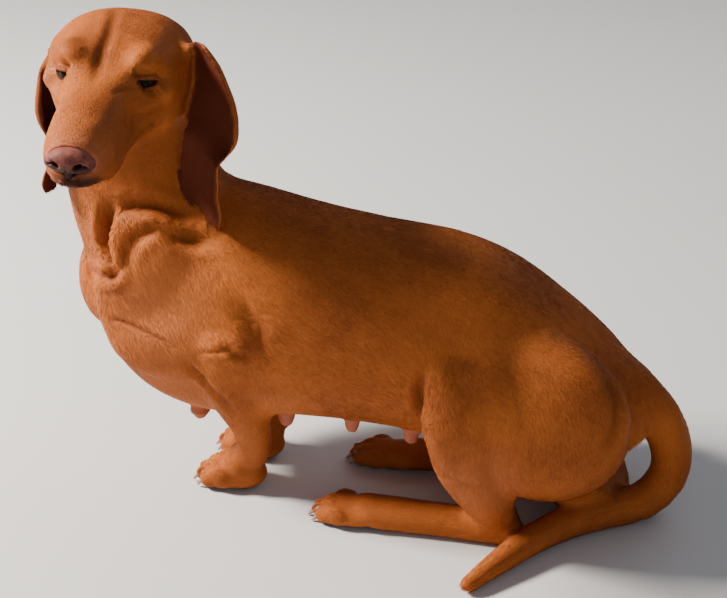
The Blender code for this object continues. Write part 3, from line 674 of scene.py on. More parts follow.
# %% Folds of the body
TEAT_SWELL = 0.60            # how much wider the teats are than the solids' cones
crease(seen((109, 204), (107, 220), (107, 240), (109, 258), (113, 273)), 0.0044, 0.0080)
crease(seen(*THROAT_FOLD), 0.0032, 0.0036)
crease(seen((114, 210), (134, 207), (154, 208), (174, 213), (192, 222)), 0.0048, 0.0036)
roll(seen((172, 217), (150, 216), (130, 222), (118, 236), (113, 252), (117, 268)), 0.0078, 0.0036)
roll(seen((96, 214), (94, 234), (95, 256)), 0.0070, 0.0020)
crease(seen((174, 226), (150, 230), (134, 241), (127, 255), (127, 270)), 0.0040, 0.0020)
crease(seen((156, 233), (176, 238), (196, 240), (216, 238)), 0.0050, 0.0030)
crease(seen((80, 250), (86, 262), (92, 274)), 0.0026, 0.0014)
crease(seen(*CHEST_FOLD), 0.0023, 0.0018, banks=0.15)
crease(seen((182, 360), (194, 372), (208, 387), (222, 400), (232, 412)), 0.0030, 0.0030)
crease(seen(*ELBOW_FOLD), 0.0024, 0.0015, banks=0.25)
crease(seen((202, 361), (212, 361), (224, 358)), 0.0024, 0.0008, banks=0.2)
crease(seen((222, 346), (236, 356), (250, 358)), 0.0028, 0.0014)
crease(seen((236, 300), (246, 316), (258, 336), (264, 358)), 0.0060, 0.0022)
crease(seen((424, 372), (418, 390), (420, 412), (428, 436)), 0.0034, 0.0026)
crease(seen((440, 356), (462, 362), (486, 366)), 0.0060, 0.0014)
crease(seen((604, 372), (616, 396), (616, 424), (604, 452)), 0.0050, 0.0018)
crease(seen((446, 476), (462, 484), (482, 488)), 0.0024, 0.0014)
points = points_of(skin)
for place in TEAT_PLACES:
    off = (points - np.array(place))[:, :2]
    gap = np.linalg.norm(off, axis=1)
    swell = (1 - smoothstep(gap, 0.0045, 0.0085)) * (1 - smoothstep(points[:, 2], 0.056, 0.075))
    swell *= points[:, 2] > 0.036
    points[:, :2] += TEAT_SWELL * swell[:, None] * off
put_points(skin, points)
for name in PAWS:
    for cleft in (-0.68, 0.0, 0.68):
        place = toe_place(name, cleft)
        height = PAWS[name][3]
        crease([place @ Vector((x, 0, z * height)) for x, z in
                ((-0.0140, 0.15), (-0.0095, 0.60), (-0.0020, 0.86), (0.0070, 0.90))],
               0.0016, 0.0027, banks=0.2)
FAR_FOLDS = (
    # lines on the far side: points, width and depth
    (((-0.185, 0.050, 0.235), (-0.205, 0.045, 0.215), (-0.222, 0.030, 0.200)), 0.0048, 0.0014),
    (((-0.175, 0.060, 0.205), (-0.200, 0.058, 0.190), (-0.220, 0.045, 0.178)), 0.0048, 0.0010),
    (((-0.128, 0.075, 0.150), (-0.118, 0.078, 0.125), (-0.112, 0.074, 0.105)), 0.0045, 0.0020),
    (((0.040, 0.085, 0.130), (0.034, 0.090, 0.105), (0.038, 0.090, 0.085)), 0.0036, 0.0024),
)
for line, width, depth in FAR_FOLDS:
    path = [skin_tree.find_nearest(body(*p))[0] for p in line]
    crease(path, width, depth)

# %% [markdown]
# The coat lies on the skin, so the skin sinks by the coat's depth, and less on
# the thin ears and the bare lids.

# %% Make room for the coat
points, normals = points_of(skin), normals_of(skin)
on_ear = ear_share(points)
lid_distance, _ = lid_gap(points)
bare_lid = 1 - smoothstep(lid_distance, 0.002, 0.006)
nose_tree = tree_of(nodes["nose"])
nose_gap = np.full(len(points), 0.02)
for i in np.flatnonzero(np.linalg.norm(in_frame(points, HEAD) - (-0.09, 0, -0.019), axis=1) < 0.030):
    nose_gap[i] = nose_tree.find_nearest(Vector(points[i]))[3]
sink = COAT_DEPTH * (1 - 0.75 * on_ear) * (1 - bare_lid) * smoothstep(nose_gap, 0.001, 0.008)
points = points - sink[:, None] * normals
points[:, 2] = np.maximum(points[:, 2], 0.0)
put_points(skin, points)
skin.data.shade_smooth()
print("skin:", len(skin.data.polygons), "triangles")

# %% [markdown]
# ## The lie of the coat
# On a live dog the hair starts at the nose and sweeps back over the skull, down
# the neck and chest, along the back, and down the legs to the toes. A few guide
# points say which way it lies; every other point takes the way of the guides
# near it, flattened onto the skin.

# %% Guides for the lie of the coat
HEAD_LIE = (
    # place and way in the head's frame, with a twin on the other side
    ((-0.085, 0.000, -0.010), (1, 0, 0.3)), ((-0.050, 0.000, 0.002), (1, 0, 0.3)),
    ((-0.050, 0.024, -0.020), (1, 0, -0.15)), ((-0.010, 0.000, 0.015), (1, 0, 0.6)),
    ((0.000, 0.030, 0.014), (1, 0.3, 0.3)), ((0.030, 0.000, 0.027), (1, 0, 0)),
    ((0.030, 0.045, -0.010), (1, 0, -0.4)), ((0.035, 0.040, -0.030), (0.9, 0, -0.5)),
    ((-0.030, 0.000, -0.045), (1, 0, 0)), ((0.080, 0.000, 0.010), (0.6, 0, -0.8)),
)
BODY_LIE = (
    # place and way from the dog's middle
    ((-0.185, 0.035, 0.270), (0.2, 0, -1)), ((-0.160, -0.040, 0.250), (0.35, 0, -1)),
    ((-0.235, 0.000, 0.250), (0.05, 0, -1)), ((-0.235, 0.000, 0.160), (0.2, 0, -1)),
    ((-0.150, 0.065, 0.170), (0.5, 0, -0.85)), ((-0.150, -0.065, 0.170), (0.5, 0, -0.85)),
    ((-0.080, 0.000, 0.220), (1, 0, -0.1)), ((0.000, 0.010, 0.210), (1, 0, -0.15)),
    ((0.080, 0.020, 0.180), (1, 0, -0.6)), ((0.140, 0.030, 0.130), (0.7, 0, -0.9)),
    ((-0.070, 0.075, 0.150), (1, 0, -0.45)), ((-0.070, -0.075, 0.150), (1, 0, -0.45)),
    ((0.000, 0.075, 0.130), (1, 0, -0.5)), ((0.000, -0.075, 0.130), (1, 0, -0.5)),
    ((0.000, 0.000, 0.060), (1, 0, 0)), ((0.090, -0.060, 0.130), (0.6, 0, -0.8)),
    ((0.090, 0.090, 0.110), (0.6, 0, -0.8)), ((0.090, -0.075, 0.080), (0.3, 0, -1)),
    ((0.050, -0.070, 0.090), (-0.2, 0, -1)), ((-0.105, -0.050, 0.090), (0, 0, -1)),
    ((-0.105, 0.050, 0.090), (0, 0, -1)), ((-0.102, -0.030, 0.050), (-0.2, 0, -1)),
    ((-0.102, 0.032, 0.050), (-0.2, 0, -1)), ((-0.120, -0.023, 0.030), (-1, 0, -0.4)),
    ((-0.120, 0.023, 0.030), (-1, 0, -0.4)), ((0.030, -0.040, 0.015), (-1, 0, 0)),
    ((0.030, 0.045, 0.015), (-1, 0, 0)), ((0.062, -0.050, 0.060), (0.3, 0, -1)),
    ((0.066, 0.082, 0.058), (0.3, 0, -1)), ((0.171, 0.034, 0.088), (0.7, 0.1, -1)),
    ((0.190, 0.041, 0.045), (0, 0, -1)), ((0.165, 0.016, 0.014), (-0.8, -0.7, 0)),
    ((0.120, -0.028, 0.012), (-0.7, -0.9, 0)), ((0.087, -0.085, 0.009), (-0.5, -1, 0)),
)


def lie_guides():
    """All guides as arrays of places and ways."""
    turn = HEAD.to_3x3()
    guides = [(body(*at), Vector(way)) for at, way in BODY_LIE]
    for (x, y, z), (wx, wy, wz) in HEAD_LIE:
        for side in ((1, -1) if y else (1,)):
            guides.append((on_head(x, side * y, z), turn @ Vector((wx, side * wy, wz))))
    places = np.array([at for at, _ in guides])
    ways = np.array([way.normalized() for _, way in guides])
    return places, ways


def flatten(ways, normals):
    """Ways laid into the skin, at length 1."""
    flat = ways - (ways * normals).sum(axis=1)[:, None] * normals
    return flat / np.maximum(np.linalg.norm(flat, axis=1), 1e-9)[:, None]


def lie_at(points, normals, on_ear):
    """The way that the coat lies at each point."""
    places, ways = lie_guides()
    gap = np.linalg.norm(points[:, None] - places[None], axis=2)
    lie = (1 / (gap ** 3 + 1e-9)) @ ways
    lie /= np.linalg.norm(lie, axis=1)[:, None]
    lie = lie * (1 - on_ear[:, None]) + np.array((0, 0, -1.0)) * on_ear[:, None]
    return flatten(lie + normals * 1e-3, normals)


points, normals = points_of(skin), normals_of(skin)
lie = lie_at(points, normals, on_ear)
print("guides:", len(lie_guides()[0]), "points with a lie:", len(lie))

# %% [markdown]
# ## Markings
# The coat is one red, but it isn't even. It is paler and pinker where the hair
# thins on the muzzle, dark maroon inside the ears, bare on the teats and on the
# rims of the lids and lips. Light is painted in as well: painted highlights on the
# muzzle, beside the far eye, on the shoulder, the thigh and the chest, painted shade
# that deepens the maroon inside the ears, and painted shade in the depth of each
# fold, round the eyes and under the nose. Each of these is a number from 0 to 1
# kept on every point, so that the skin and the tufts read the same markings.

# %% Markings on the skin
INNER_EAR = {"ear_left": (-0.6, -0.8, 0.0), "ear_right": (0.93, -0.37, 0.0)}
EAR_MARGIN = 0.003


def inside_ears(points, normals):
    """1 on the inner face of each ear."""
    share = np.zeros(len(points))
    for ear, way in INNER_EAR.items():
        low, high = (np.array(corner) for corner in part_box(ear))
        near = np.all((points > low - EAR_MARGIN) & (points < high + EAR_MARGIN), axis=1)
        share[near] = smoothstep(normals[near] @ np.array(way), 0.05, 0.45)
    return share * on_ear


def round_spot(place, inner, outer):
    """1 within the inner distance of a place, falling to 0 at the outer one."""
    gap = np.linalg.norm(points - np.array(place), axis=1)
    return 1 - smoothstep(gap, inner, outer)


head_points = in_frame(points, HEAD)
lid_distance, _ = lid_gap(points)
lip_gap = np.minimum(*[nearest(points, MOUTH[side])[0] for side in (-1, 1)])
short = np.maximum(on_ear, round_spot(on_head(-0.005, 0, -0.012), 0.070, 0.115))
for name in PAWS:
    short = np.maximum(short, round_spot(PAWS[name][0], 0.040, 0.085))
short = np.maximum(short, 0.7 * np.clip(fold_depth_and_shade, 0, 1))
marks = {
    # inner: the ears' own darker leather inside, made darker still as painted shade
    "inner": inside_ears(points, normals),
    # paler hair on the muzzle, together with painted highlights on the muzzle, beside the far eye,
    # on the shoulder, the thigh and the chest
    "pale_hair_and_highlight": np.maximum.reduce([
        0.25 * round_spot(on_head(-0.086, 0.004, -0.012), 0.010, 0.034),
        0.25 * round_spot(on_head(-0.060, 0.024, -0.020), 0.008, 0.030),
        0.6 * round_spot(on_head(-0.004, 0.034, -0.008), 0.004, 0.016),
        0.5 * round_spot(body(-0.150, -0.065, 0.155), 0.010, 0.050),
        0.5 * round_spot(body(0.075, -0.050, 0.060), 0.010, 0.045),
        0.35 * round_spot(where_seen(166, 288), 0.012, 0.042)]),
    "bare": np.maximum.reduce([0.25 * (1 - smoothstep(lid_distance, 0.0014, 0.0030)),
                               teat_share(points),
                               1 - smoothstep(nose_gap, 0.0010, 0.0024),
                               0.35 * (1 - smoothstep(nose_gap, 0.0010, 0.0140))]),
    # the dark rims of the lids and lips, and a spot of painted shade under the nose
    "dark_rims_and_shade": np.maximum.reduce([1 - smoothstep(lid_distance, 0.0007, 0.0019),
                               1 - smoothstep(lip_gap, 0.0005, 0.0016),
               0.92 * round_spot(on_head(-0.087, -0.003, -0.035), 0.008, 0.018)]),
    # painted shade in the depth of the folds, round the eyes and under the nose
    "fold_depth_and_shade": np.maximum.reduce([np.clip(fold_depth_and_shade, 0, 1),
                                 0.75 * (1 - smoothstep(lid_distance, 0.0010, 0.0060)),
                                 0.85 * round_spot(on_head(-0.087, 0, -0.032), 0.004, 0.013)]),
    "pad": 1 - smoothstep(points[:, 2], 0.0015, 0.0050),
}
marks["pad"] *= np.maximum.reduce([round_spot(PAWS[name][0], 0.024, 0.030) for name in PAWS])
print({name: int((share > 0.5).sum()) for name, share in marks.items()})

# %% [markdown]
# ## Tufts
# A short coat lies flat, so most of it reads as a fine grain, and it breaks the
# outline only by a hair's breadth. Each tuft here is a narrow blade of three
# triangles: its root is sunk in the skin, its middle rises, and its tip lies
# down again over the roots behind it. They are long on the body, short on the
# face, ears and feet, and all their points are worked out as arrays, because
# there are hundreds of thousands.

# %% Sow the roots
TUFTS = 480000
TUFTS_PER_PIECE = 60000
LONG, SHORT = (0.0042, 0.00040), (0.0022, 0.00030)    # length and width of a tuft
TUFT_SINK = 0.0004
TUFT_RISE = 0.0004
draw = np.random.default_rng(11)


def corners_of(obj):
    """The three points of each triangle."""
    corners = np.empty(len(obj.data.loops), int)
    obj.data.loops.foreach_get("vertex_index", corners)
    return corners.reshape(-1, 3)


def mix_points(values, corners, shares):
    """Values of points blended inside their triangles."""
    picked = values[corners]
    shares = shares.reshape(shares.shape + (1,) * (picked.ndim - 2))
    return (picked * shares).sum(axis=1)


triangles = corners_of(skin)
edges = points[triangles]
areas = np.linalg.norm(np.cross(edges[:, 1] - edges[:, 0], edges[:, 2] - edges[:, 0]), axis=1) / 2
bald = (lid_distance < 0.0012) | (nose_gap < 0.0012) | (lip_gap < 0.0007) | (points[:, 2] < 0.0012)
bald |= (teat_share(points) > 0.6) | (marks["pad"] > 0.5)
length = LONG[0] + (SHORT[0] - LONG[0]) * short
width = LONG[1] + (SHORT[1] - LONG[1]) * short
crowd = (1 - bald) * (1 - 0.55 * marks["inner"]) / (length * width)
chance = areas * crowd[triangles].mean(axis=1) * (bald[triangles].sum(axis=1) == 0)
chosen = np.searchsorted(np.cumsum(chance) / chance.sum(), draw.random(TUFTS))
shares = draw.dirichlet((1, 1, 1), TUFTS)
corners = triangles[chosen]
root = mix_points(points, corners, shares)
root_normal = mix_points(normals, corners, shares)
root_normal /= np.linalg.norm(root_normal, axis=1)[:, None]
print("skin area:", round(float(areas.sum()), 3), "m2, tufts:", TUFTS)

# %% [markdown]
# Neighbouring hairs stick together a little, so a slow wave bends whole groups
# of tufts the same way, and each tuft also strays by itself.

# %% Shape the tufts
WAVE = 5.0                   # degrees that groups of tufts stray together
STRAY = 6.0                  # degrees that each strays by itself
ROLL = 24.0


def wave(points, pitch):
    """A slow, even wave through space, between -1 and 1."""
    x, y, z = (points * (2 * pi / pitch)).T
    return (np.sin(x + 1.7 * np.sin(0.7 * z)) + np.sin(1.1 * y + 1.3 * np.sin(0.8 * x))
            + np.sin(0.9 * z + 1.9 * np.sin(0.6 * y))) / 3


way = flatten(mix_points(lie, corners, shares), root_normal)
side_way = np.cross(root_normal, way)
angle = np.radians(WAVE * wave(root, 0.011) + STRAY * draw.normal(size=TUFTS))[:, None]
way = way * np.cos(angle) + side_way * np.sin(angle)
side_way = np.cross(root_normal, way)
roll_angle = np.radians(draw.uniform(-ROLL, ROLL, TUFTS))[:, None]
side_way = side_way * np.cos(roll_angle) + root_normal * np.sin(roll_angle)
blade_length = mix_points(length, corners, shares) * draw.uniform(0.75, 1.25, TUFTS)
blade_width = mix_points(width, corners, shares) * draw.uniform(0.8, 1.2, TUFTS)
rise = TUFT_RISE * draw.uniform(0.6, 1.25, TUFTS) * (1 - 0.35 * mix_points(short, corners, shares))
rise = rise * (1 - 0.6 * mix_points(on_ear, corners, shares))
half = (side_way * blade_width[:, None] / 2)
forward = way * blade_length[:, None]
lift = root_normal * rise[:, None]
base = root - root_normal * TUFT_SINK
middle = root + forward * 0.45 + lift * 0.75
blades = np.stack([base - half, base + half, middle - half * 0.85, middle + half * 0.85,
                   root + forward + lift], axis=1)
blades[:, :, 2] = np.maximum(blades[:, :, 2], 0.0)
blade_normal = root_normal[:, None] + 0.25 * np.cross(way, side_way)[:, None]
blade_normal = np.repeat(blade_normal / np.linalg.norm(blade_normal, axis=2)[..., None], 5, axis=1)
print("longest tuft:", round(float(blade_length.max()) * 1000, 1), "mm")

# %% [markdown]
# ## A map for the tufts
# A material is baked to a picture through a UV map. A tuft has no room of its
# own there, so it takes a small patch at its root's place on an unwrap of the
# skin. A coarse copy of the skin is unwrapped, and each root looks up its place.

# %% Places on the unwrap
UNWRAP_TRIANGLES = 5000
PATCH = 0.003
coarse = skin.copy()
coarse.data = skin.data.copy()
bpy.context.scene.collection.objects.link(coarse)
apply_modifier(coarse, "DECIMATE", ratio=UNWRAP_TRIANGLES / len(coarse.data.polygons))
pick(coarse)
bpy.ops.object.mode_set(mode="EDIT")
bpy.ops.mesh.select_all(action="SELECT")
bpy.ops.mesh.quads_convert_to_tris()
bpy.ops.uv.smart_project(angle_limit=radians(66), island_margin=0.004)
bpy.ops.object.mode_set(mode="OBJECT")
coarse_points = points_of(coarse)
coarse_corners = corners_of(coarse)
coarse_uv = np.empty(len(coarse.data.loops) * 2)
coarse.data.uv_layers.active.data.foreach_get("uv", coarse_uv)
coarse_uv = coarse_uv.reshape(-1, 3, 2)
coarse_tree = tree_of(coarse)
where = np.array([coarse_tree.find_nearest(Vector(p))[2] for p in root])
a, b, c = (coarse_points[coarse_corners[where, k]] for k in range(3))
ab, ac, ap = b - a, c - a, root - a
d00, d01, d11 = (ab * ab).sum(1), (ab * ac).sum(1), (ac * ac).sum(1)
d20, d21 = (ap * ab).sum(1), (ap * ac).sum(1)
spread = np.maximum(d00 * d11 - d01 * d01, 1e-18)
v = np.clip((d11 * d20 - d01 * d21) / spread, 0, 1)
w = np.clip((d00 * d21 - d01 * d20) / spread, 0, 1 - v)
root_uv = (coarse_uv[where, 0] * (1 - v - w)[:, None] + coarse_uv[where, 1] * v[:, None]
           + coarse_uv[where, 2] * w[:, None])
bpy.data.objects.remove(coarse, do_unlink=True)
patch = PATCH * np.array(((-0.5, -0.5), (0.5, -0.5), (-0.4, 0.0), (0.4, 0.0), (0.0, 0.5)))
blade_uv = root_uv[:, None] + patch[None]
print("islands hold", len(coarse_uv), "triangles")

# %% [markdown]
# The tufts are split into a few meshes by their place along the dog, so that no
# mesh grows too heavy.


# %% Make the coat pieces
BLADE_FACES = np.array(((0, 3, 1), (0, 2, 3), (2, 4, 3)))


def mark(obj, name, values):
    """Keep a number on each point of a mesh."""
    made = obj.data.attributes.new(name, "FLOAT", "POINT")
    made.data.foreach_set("value", np.asarray(values, np.float32))


def coat_piece(name, who):
    """One mesh of the tufts with these numbers."""
    count = len(who)
    mesh = bpy.data.meshes.new(name)
    mesh.vertices.add(count * 5)
    mesh.vertices.foreach_set("co", blades[who].ravel())
    faces = (BLADE_FACES[None] + 5 * np.arange(count)[:, None, None]).ravel()
    mesh.loops.add(len(faces))
    mesh.loops.foreach_set("vertex_index", faces)
    mesh.polygons.add(count * 3)
    mesh.polygons.foreach_set("loop_start", np.arange(0, len(faces), 3))
    mesh.update(calc_edges=True)
    mesh.shade_smooth()
    mesh.normals_split_custom_set_from_vertices(blade_normal[who].reshape(-1, 3))
    uv = mesh.uv_layers.new(name="OFBake")
    uv.data.foreach_set("uv", blade_uv[who].reshape(-1, 2)[faces].ravel())
    made = bpy.data.objects.new(name, mesh)
    bpy.context.scene.collection.objects.link(made)
    for kind, values in marks.items():
        blended = mix_points(values, corners[who], shares[who])
        mark(made, kind, np.repeat(blended, 5))
    mark(made, "shade", np.repeat(tuft_shade[who], 5))
    return made


tuft_shade = np.clip(0.5 + 0.17 * draw.normal(size=TUFTS) + 0.10 * wave(root, 0.017), 0, 1)
order = np.argsort(root[:, 0])
bands = np.array_split(order, int(np.ceil(TUFTS / TUFTS_PER_PIECE)))
coat = [coat_piece("coat_" + str(i + 1), who) for i, who in enumerate(bands)]
for kind, values in marks.items():
    mark(skin, kind, values)
mark(skin, "shade", np.full(len(points), 0.40))
print("coat pieces:", len(coat), "of", len(bands[0]) * 3, "triangles")

# %% [markdown]
# ## Nose leather
# A dog's nose is bare, damp leather with a fine pebbled grain. Each nostril is a
# comma: a round hole near the middle with a slit that runs out to the side. A
# groove, the philtrum, runs down from between them. The leather is fused from
# three balls, and the holes are then pushed in, so that its surface stays whole.

# %% Nose
NOSE_BALLS = (((-0.0918, 0, -0.0168), (0.0084, 0.0132, 0.0074)),
              ((-0.0900, 0, -0.0188), (0.0086, 0.0156, 0.0062)),
              ((-0.0915, 0, -0.0250), (0.0040, 0.0026, 0.0042)))
NOSE_GRID = 0.00045
NOSE_GROW = 0.0004           # closes the gap to the skin
HOLE_DEEP = 0.0042

nose_balls = [ball("leather", HEAD @ Matrix.Translation(at), [s + NOSE_GROW for s in size])
              for at, size in NOSE_BALLS]
nose = nose_balls[0]
pick(nose, *nose_balls[1:])
bpy.ops.object.join()
nose.name = "nose_leather"
nose.data.name = "nose_leather"
apply_modifier(nose, "REMESH", mode="VOXEL", voxel_size=NOSE_GRID)
apply_modifier(nose, "SMOOTH", factor=0.5, iterations=8)


def push_along(local, line, width, depth, way):
    """Push points near a line in the head's frame, and say how far each went."""
    gap, _ = nearest(local, line)
    amount = depth * np.exp(-(gap / width) ** 2)
    return local + amount[:, None] * np.array(way), amount


local = in_frame(points_of(nose), HEAD)
hole = np.zeros(len(local))
for side in (-1, 1):
    comma = [(-0.0992, side * 0.0062, -0.0182), (-0.0985, side * 0.0084, -0.0176),
             (-0.0965, side * 0.0108, -0.0182), (-0.0930, side * 0.0132, -0.0198)]
    local, amount = push_along(local, comma[:2], 0.0016, HOLE_DEEP, (1, side * -0.25, 0.1))
    hole = np.maximum(hole, amount / HOLE_DEEP)
    local, amount = push_along(local, comma[1:], 0.0008, HOLE_DEEP * 0.5, (1, side * -0.3, 0))
    hole = np.maximum(hole, amount / HOLE_DEEP * 1.4)
    rim = [(-0.0985, side * 0.0058, -0.0158), (-0.0975, side * 0.0086, -0.0146),
           (-0.0945, side * 0.0116, -0.0152)]
    local, _ = push_along(local, rim, 0.0018, 0.0006, (-0.7, 0, 0.7))
groove = [(-0.1000, 0, -0.0170), (-0.0990, 0, -0.0210), (-0.0960, 0, -0.0300)]
local, amount = push_along(local, groove, 0.0008, 0.0011, (1, 0, 0))
turned_back = np.array(HEAD)
put_points(nose, local @ turned_back[:3, :3].T + turned_back[:3, 3])
nose.data.shade_smooth()
# The depth of the nostrils and the groove, and the underside, are kept to be painted as shade.
mark(nose, "hole", np.clip(hole * 1.2, 0, 1))
mark(nose, "groove", amount / 0.0011)
mark(nose, "underside_shade", 1 - smoothstep(local[:, 2], -0.0215, -0.0150))
print("nose:", len(nose.data.polygons), "faces")

# %% [markdown]
# ## Eyes
# Only a sliver of each eye shows between the lids, but a live eye is a whole
# ball: a clear cornea bulges from it over a brown iris and a black pupil. Every
# point keeps its angle from the line of sight, and the finish paints by that.

# %% Eyeballs
CORNEA_EDGE = radians(38)
CORNEA_BULGE = 0.0009
eyes = []
for side, name in ((-1, "eye_left"), (1, "eye_right")):
    eye = ball(name + "_ball", EYES[side], [EYE_RADIUS] * 3, segments=64, rings=48)
    local = in_frame(points_of(eye), EYES[side])
    off_axis = np.arctan2(np.hypot(local[:, 1], local[:, 2]), -local[:, 0])
    bulge = 1 + CORNEA_BULGE / EYE_RADIUS * (1 - smoothstep(off_axis, 0, CORNEA_EDGE))
    place = np.array(EYES[side])
    put_points(eye, (local * bulge[:, None]) @ place[:3, :3].T + place[:3, 3])
    eye.data.shade_smooth()
    mark(eye, "off_axis", np.degrees(off_axis))
    eyes.append(eye)
print("eyes:", len(eyes), "of", len(eyes[0].data.polygons), "faces")

# %% [markdown]
# ## Claws
# A claw is a bent horn cone, flattened at the sides, that leaves the toe under a
# fold of skin and curves down to a blunt tip. One is modelled at the origin and
# copied to every toe.

# %% Claws
CLAW_RADIUS = 0.0030
CLAW_REACH = 0.0125
bpy.ops.object.select_all(action="DESELECT")
bpy.ops.mesh.primitive_cone_add(vertices=12, radius1=CLAW_RADIUS, radius2=CLAW_RADIUS * 0.42,
                                depth=CLAW_REACH, rotation=(0, -pi / 2, 0))
claw = bpy.context.active_object
bpy.ops.object.transform_apply(location=True, rotation=True, scale=True)
bpy.ops.object.mode_set(mode="EDIT")
bpy.ops.mesh.select_all(action="SELECT")
bpy.ops.mesh.subdivide(number_cuts=4)
bpy.ops.object.mode_set(mode="OBJECT")
local = points_of(claw)
out = np.clip(0.5 - local[:, 0] / CLAW_REACH, 0, 1)
local[:, 1] *= 0.8
local[:, 2] += -0.0050 * out ** 2.0
put_points(claw, local)
claws = []
for name in PAWS:
    height = PAWS[name][3]
    for across in TOES:
        twin = claw.copy()
        twin.data = claw.data.copy()
        bpy.context.scene.collection.objects.link(twin)
        sit = Matrix.Translation((-0.0108, 0, height * 0.33)) @ turned(-14, "Y")
        claws.append(place_primitive(twin, toe_place(name, across) @ sit))
bpy.data.objects.remove(claw, do_unlink=True)
claws_piece = claws[0]
pick(claws_piece, *claws[1:])
bpy.ops.object.join()
claws_piece.name = "claws"
claws_piece.data.name = "claws"
local = points_of(claws_piece)
local[:, 2] = np.maximum(local[:, 2], 0.0002)
put_points(claws_piece, local)
claws_piece.data.shade_smooth()
print("claws:", len(claws), "lowest", round(float(local[:, 2].min()), 4))

# %% [markdown]
# ## Finishes
# A material's maths reads best as plain sums, so one small class wraps a socket
# and adds a node for each operator. Colours go through Mix nodes, because a Math
# node would turn them grey.


# %% Shader helpers
class Value:
    """A socket whose number can be used in sums."""

    def __init__(self, finish, socket):
        self.finish = finish
        self.socket = socket

    def sum_of(self, operation, *terms):
        return self.finish.node("ShaderNodeMath", {"operation": operation},
                                dict(enumerate(terms)))

    def __add__(self, other):
        return self.sum_of("ADD", self, other)

    def __radd__(self, other):
        return self.sum_of("ADD", other, self)

    def __sub__(self, other):
        return self.sum_of("SUBTRACT", self, other)

    def __rsub__(self, other):
        return self.sum_of("SUBTRACT", other, self)

    def __mul__(self, other):
        return self.sum_of("MULTIPLY", self, other)

    def __rmul__(self, other):
        return self.sum_of("MULTIPLY", other, self)

    def __pow__(self, other):
        return self.sum_of("POWER", self, other)

    def between(self, low, high):
        """0 below low, 1 above high and smooth between."""
        return self.finish.node("ShaderNodeMapRange", {"interpolation_type": "SMOOTHSTEP"},
                                {"Value": self, "From Min": low, "From Max": high})


class Finish:
    """A material with a Principled shader, and the nodes that feed it."""

    def __init__(self, name, **plain):
        self.material = bpy.data.materials.new(name)
        self.material.use_nodes = True
        self.tree = self.material.node_tree
        self.shader = self.tree.nodes["Principled BSDF"]
        for key, value in plain.items():
            self.shader.inputs[key.replace("_", " ")].default_value = value

    def node(self, kind, settings=None, sockets=None, out=0):
        """Any node: its type, its settings, and its sockets' values or links."""
        made = self.tree.nodes.new(kind)
        for key, value in (settings or {}).items():
            setattr(made, key, value)
        for key, value in (sockets or {}).items():
            self.feed(made.inputs[key], value)
        return Value(self, made.outputs[out])

    def feed(self, socket, value):
        """Link or set one socket."""
        if isinstance(value, Value):
            self.tree.links.new(value.socket, socket)
        elif socket.type == "RGBA":
            socket.default_value = (*value, 1.0)
        else:
            socket.default_value = value

    def mix(self, share, first, second):
        """A colour between two colours."""
        return self.node("ShaderNodeMix", {"data_type": "RGBA"},
                         {0: share, 6: first, 7: second}, out=2)

    def mark(self, name):
        """A number kept on the mesh's points."""
        return self.node("ShaderNodeAttribute", {"attribute_name": name}, out=2)

    def noise(self, scale, detail=2.0, stretch=(1, 1, 1)):
        """Even noise, drawn out along an axis by a small stretch."""
        at = self.node("ShaderNodeTexCoord", out=3)
        at = self.node("ShaderNodeMapping", None, {"Vector": at, "Scale": stretch})
        return self.node("ShaderNodeTexNoise", None,
                         {"Vector": at, "Scale": scale, "Detail": detail})

    def cells(self, scale):
        """Distance from the middle of pebble-like cells."""
        at = self.node("ShaderNodeTexCoord", out=3)
        return self.node("ShaderNodeTexVoronoi", None, {"Vector": at, "Scale": scale})

    def bump(self, height, distance, strength=1.0):
        """A bump of a height, in metres for a value of 1."""
        return self.node("ShaderNodeBump", None,
                         {"Height": height, "Distance": distance, "Strength": strength})

    def wear(self, obj, **sockets):
        """Feed the shader and give the material to an object."""
        for key, value in sockets.items():
            self.feed(self.shader.inputs[key.replace("_", " ")], value)
        obj.data.materials.clear()
        obj.data.materials.append(self.material)


# %% [markdown]
# ### Coat
# Each tuft is a little lighter or darker than the next, and broad, soft patches
# drift from a deep red to a lighter one, as they do on a smooth-haired dog.

# %% Coat finish
DEEP_RED = (0.165, 0.036, 0.016)
LIGHT_RED = (0.650, 0.180, 0.034)
PALE_HAIR_AND_HIGHLIGHT_RED = (0.620, 0.200, 0.080)
FOLD_SHADE_RED = (0.090, 0.018, 0.005)
EAR_MAROON_AND_SHADE = (0.070, 0.014, 0.009)
BARE_SKIN = (0.420, 0.130, 0.085)
RIM_AND_SHADE_DARK = (0.022, 0.009, 0.007)
PAD_GREY = (0.060, 0.045, 0.040)

red = Finish("red_coat", Specular_IOR_Level=0.08, Specular_Tint=(1.0, 0.62, 0.36, 1.0))
shade = red.mark("shade")
patches = red.noise(16, detail=3.0).between(0.30, 0.70)
colour = red.mix(0.66 * shade + 0.30 * patches, DEEP_RED, LIGHT_RED)
# Paler hair on the muzzle, and painted highlights.
colour = red.mix(red.mark("pale_hair_and_highlight") * (0.45 + 0.5 * red.noise(60)), colour, PALE_HAIR_AND_HIGHLIGHT_RED)
# Painted shade in the folds, round the eyes and under the nose.
colour = red.mix(red.mark("fold_depth_and_shade") * 0.60, colour, FOLD_SHADE_RED)
# The inside of the ears: its own maroon, deepened by painted shade.
colour = red.mix(red.mark("inner") * 0.94, colour, EAR_MAROON_AND_SHADE)
colour = red.mix(red.mark("bare") * 0.85, colour, BARE_SKIN)
colour = red.mix(red.mark("pad"), colour, PAD_GREY)
# Dark rims of the lids and lips, and painted shade under the nose.
colour = red.mix(red.mark("dark_rims_and_shade"), colour, RIM_AND_SHADE_DARK)
grain = red.noise(900, detail=3.0) + 0.5 * red.noise(240, detail=2.0)
roughness = 0.58 - 0.10 * shade + 0.10 * red.mark("inner")
red.wear(skin, Base_Color=colour, Roughness=roughness, Normal=red.bump(grain, 0.00018, 0.5))
for piece in coat:
    piece.data.materials.append(red.material)
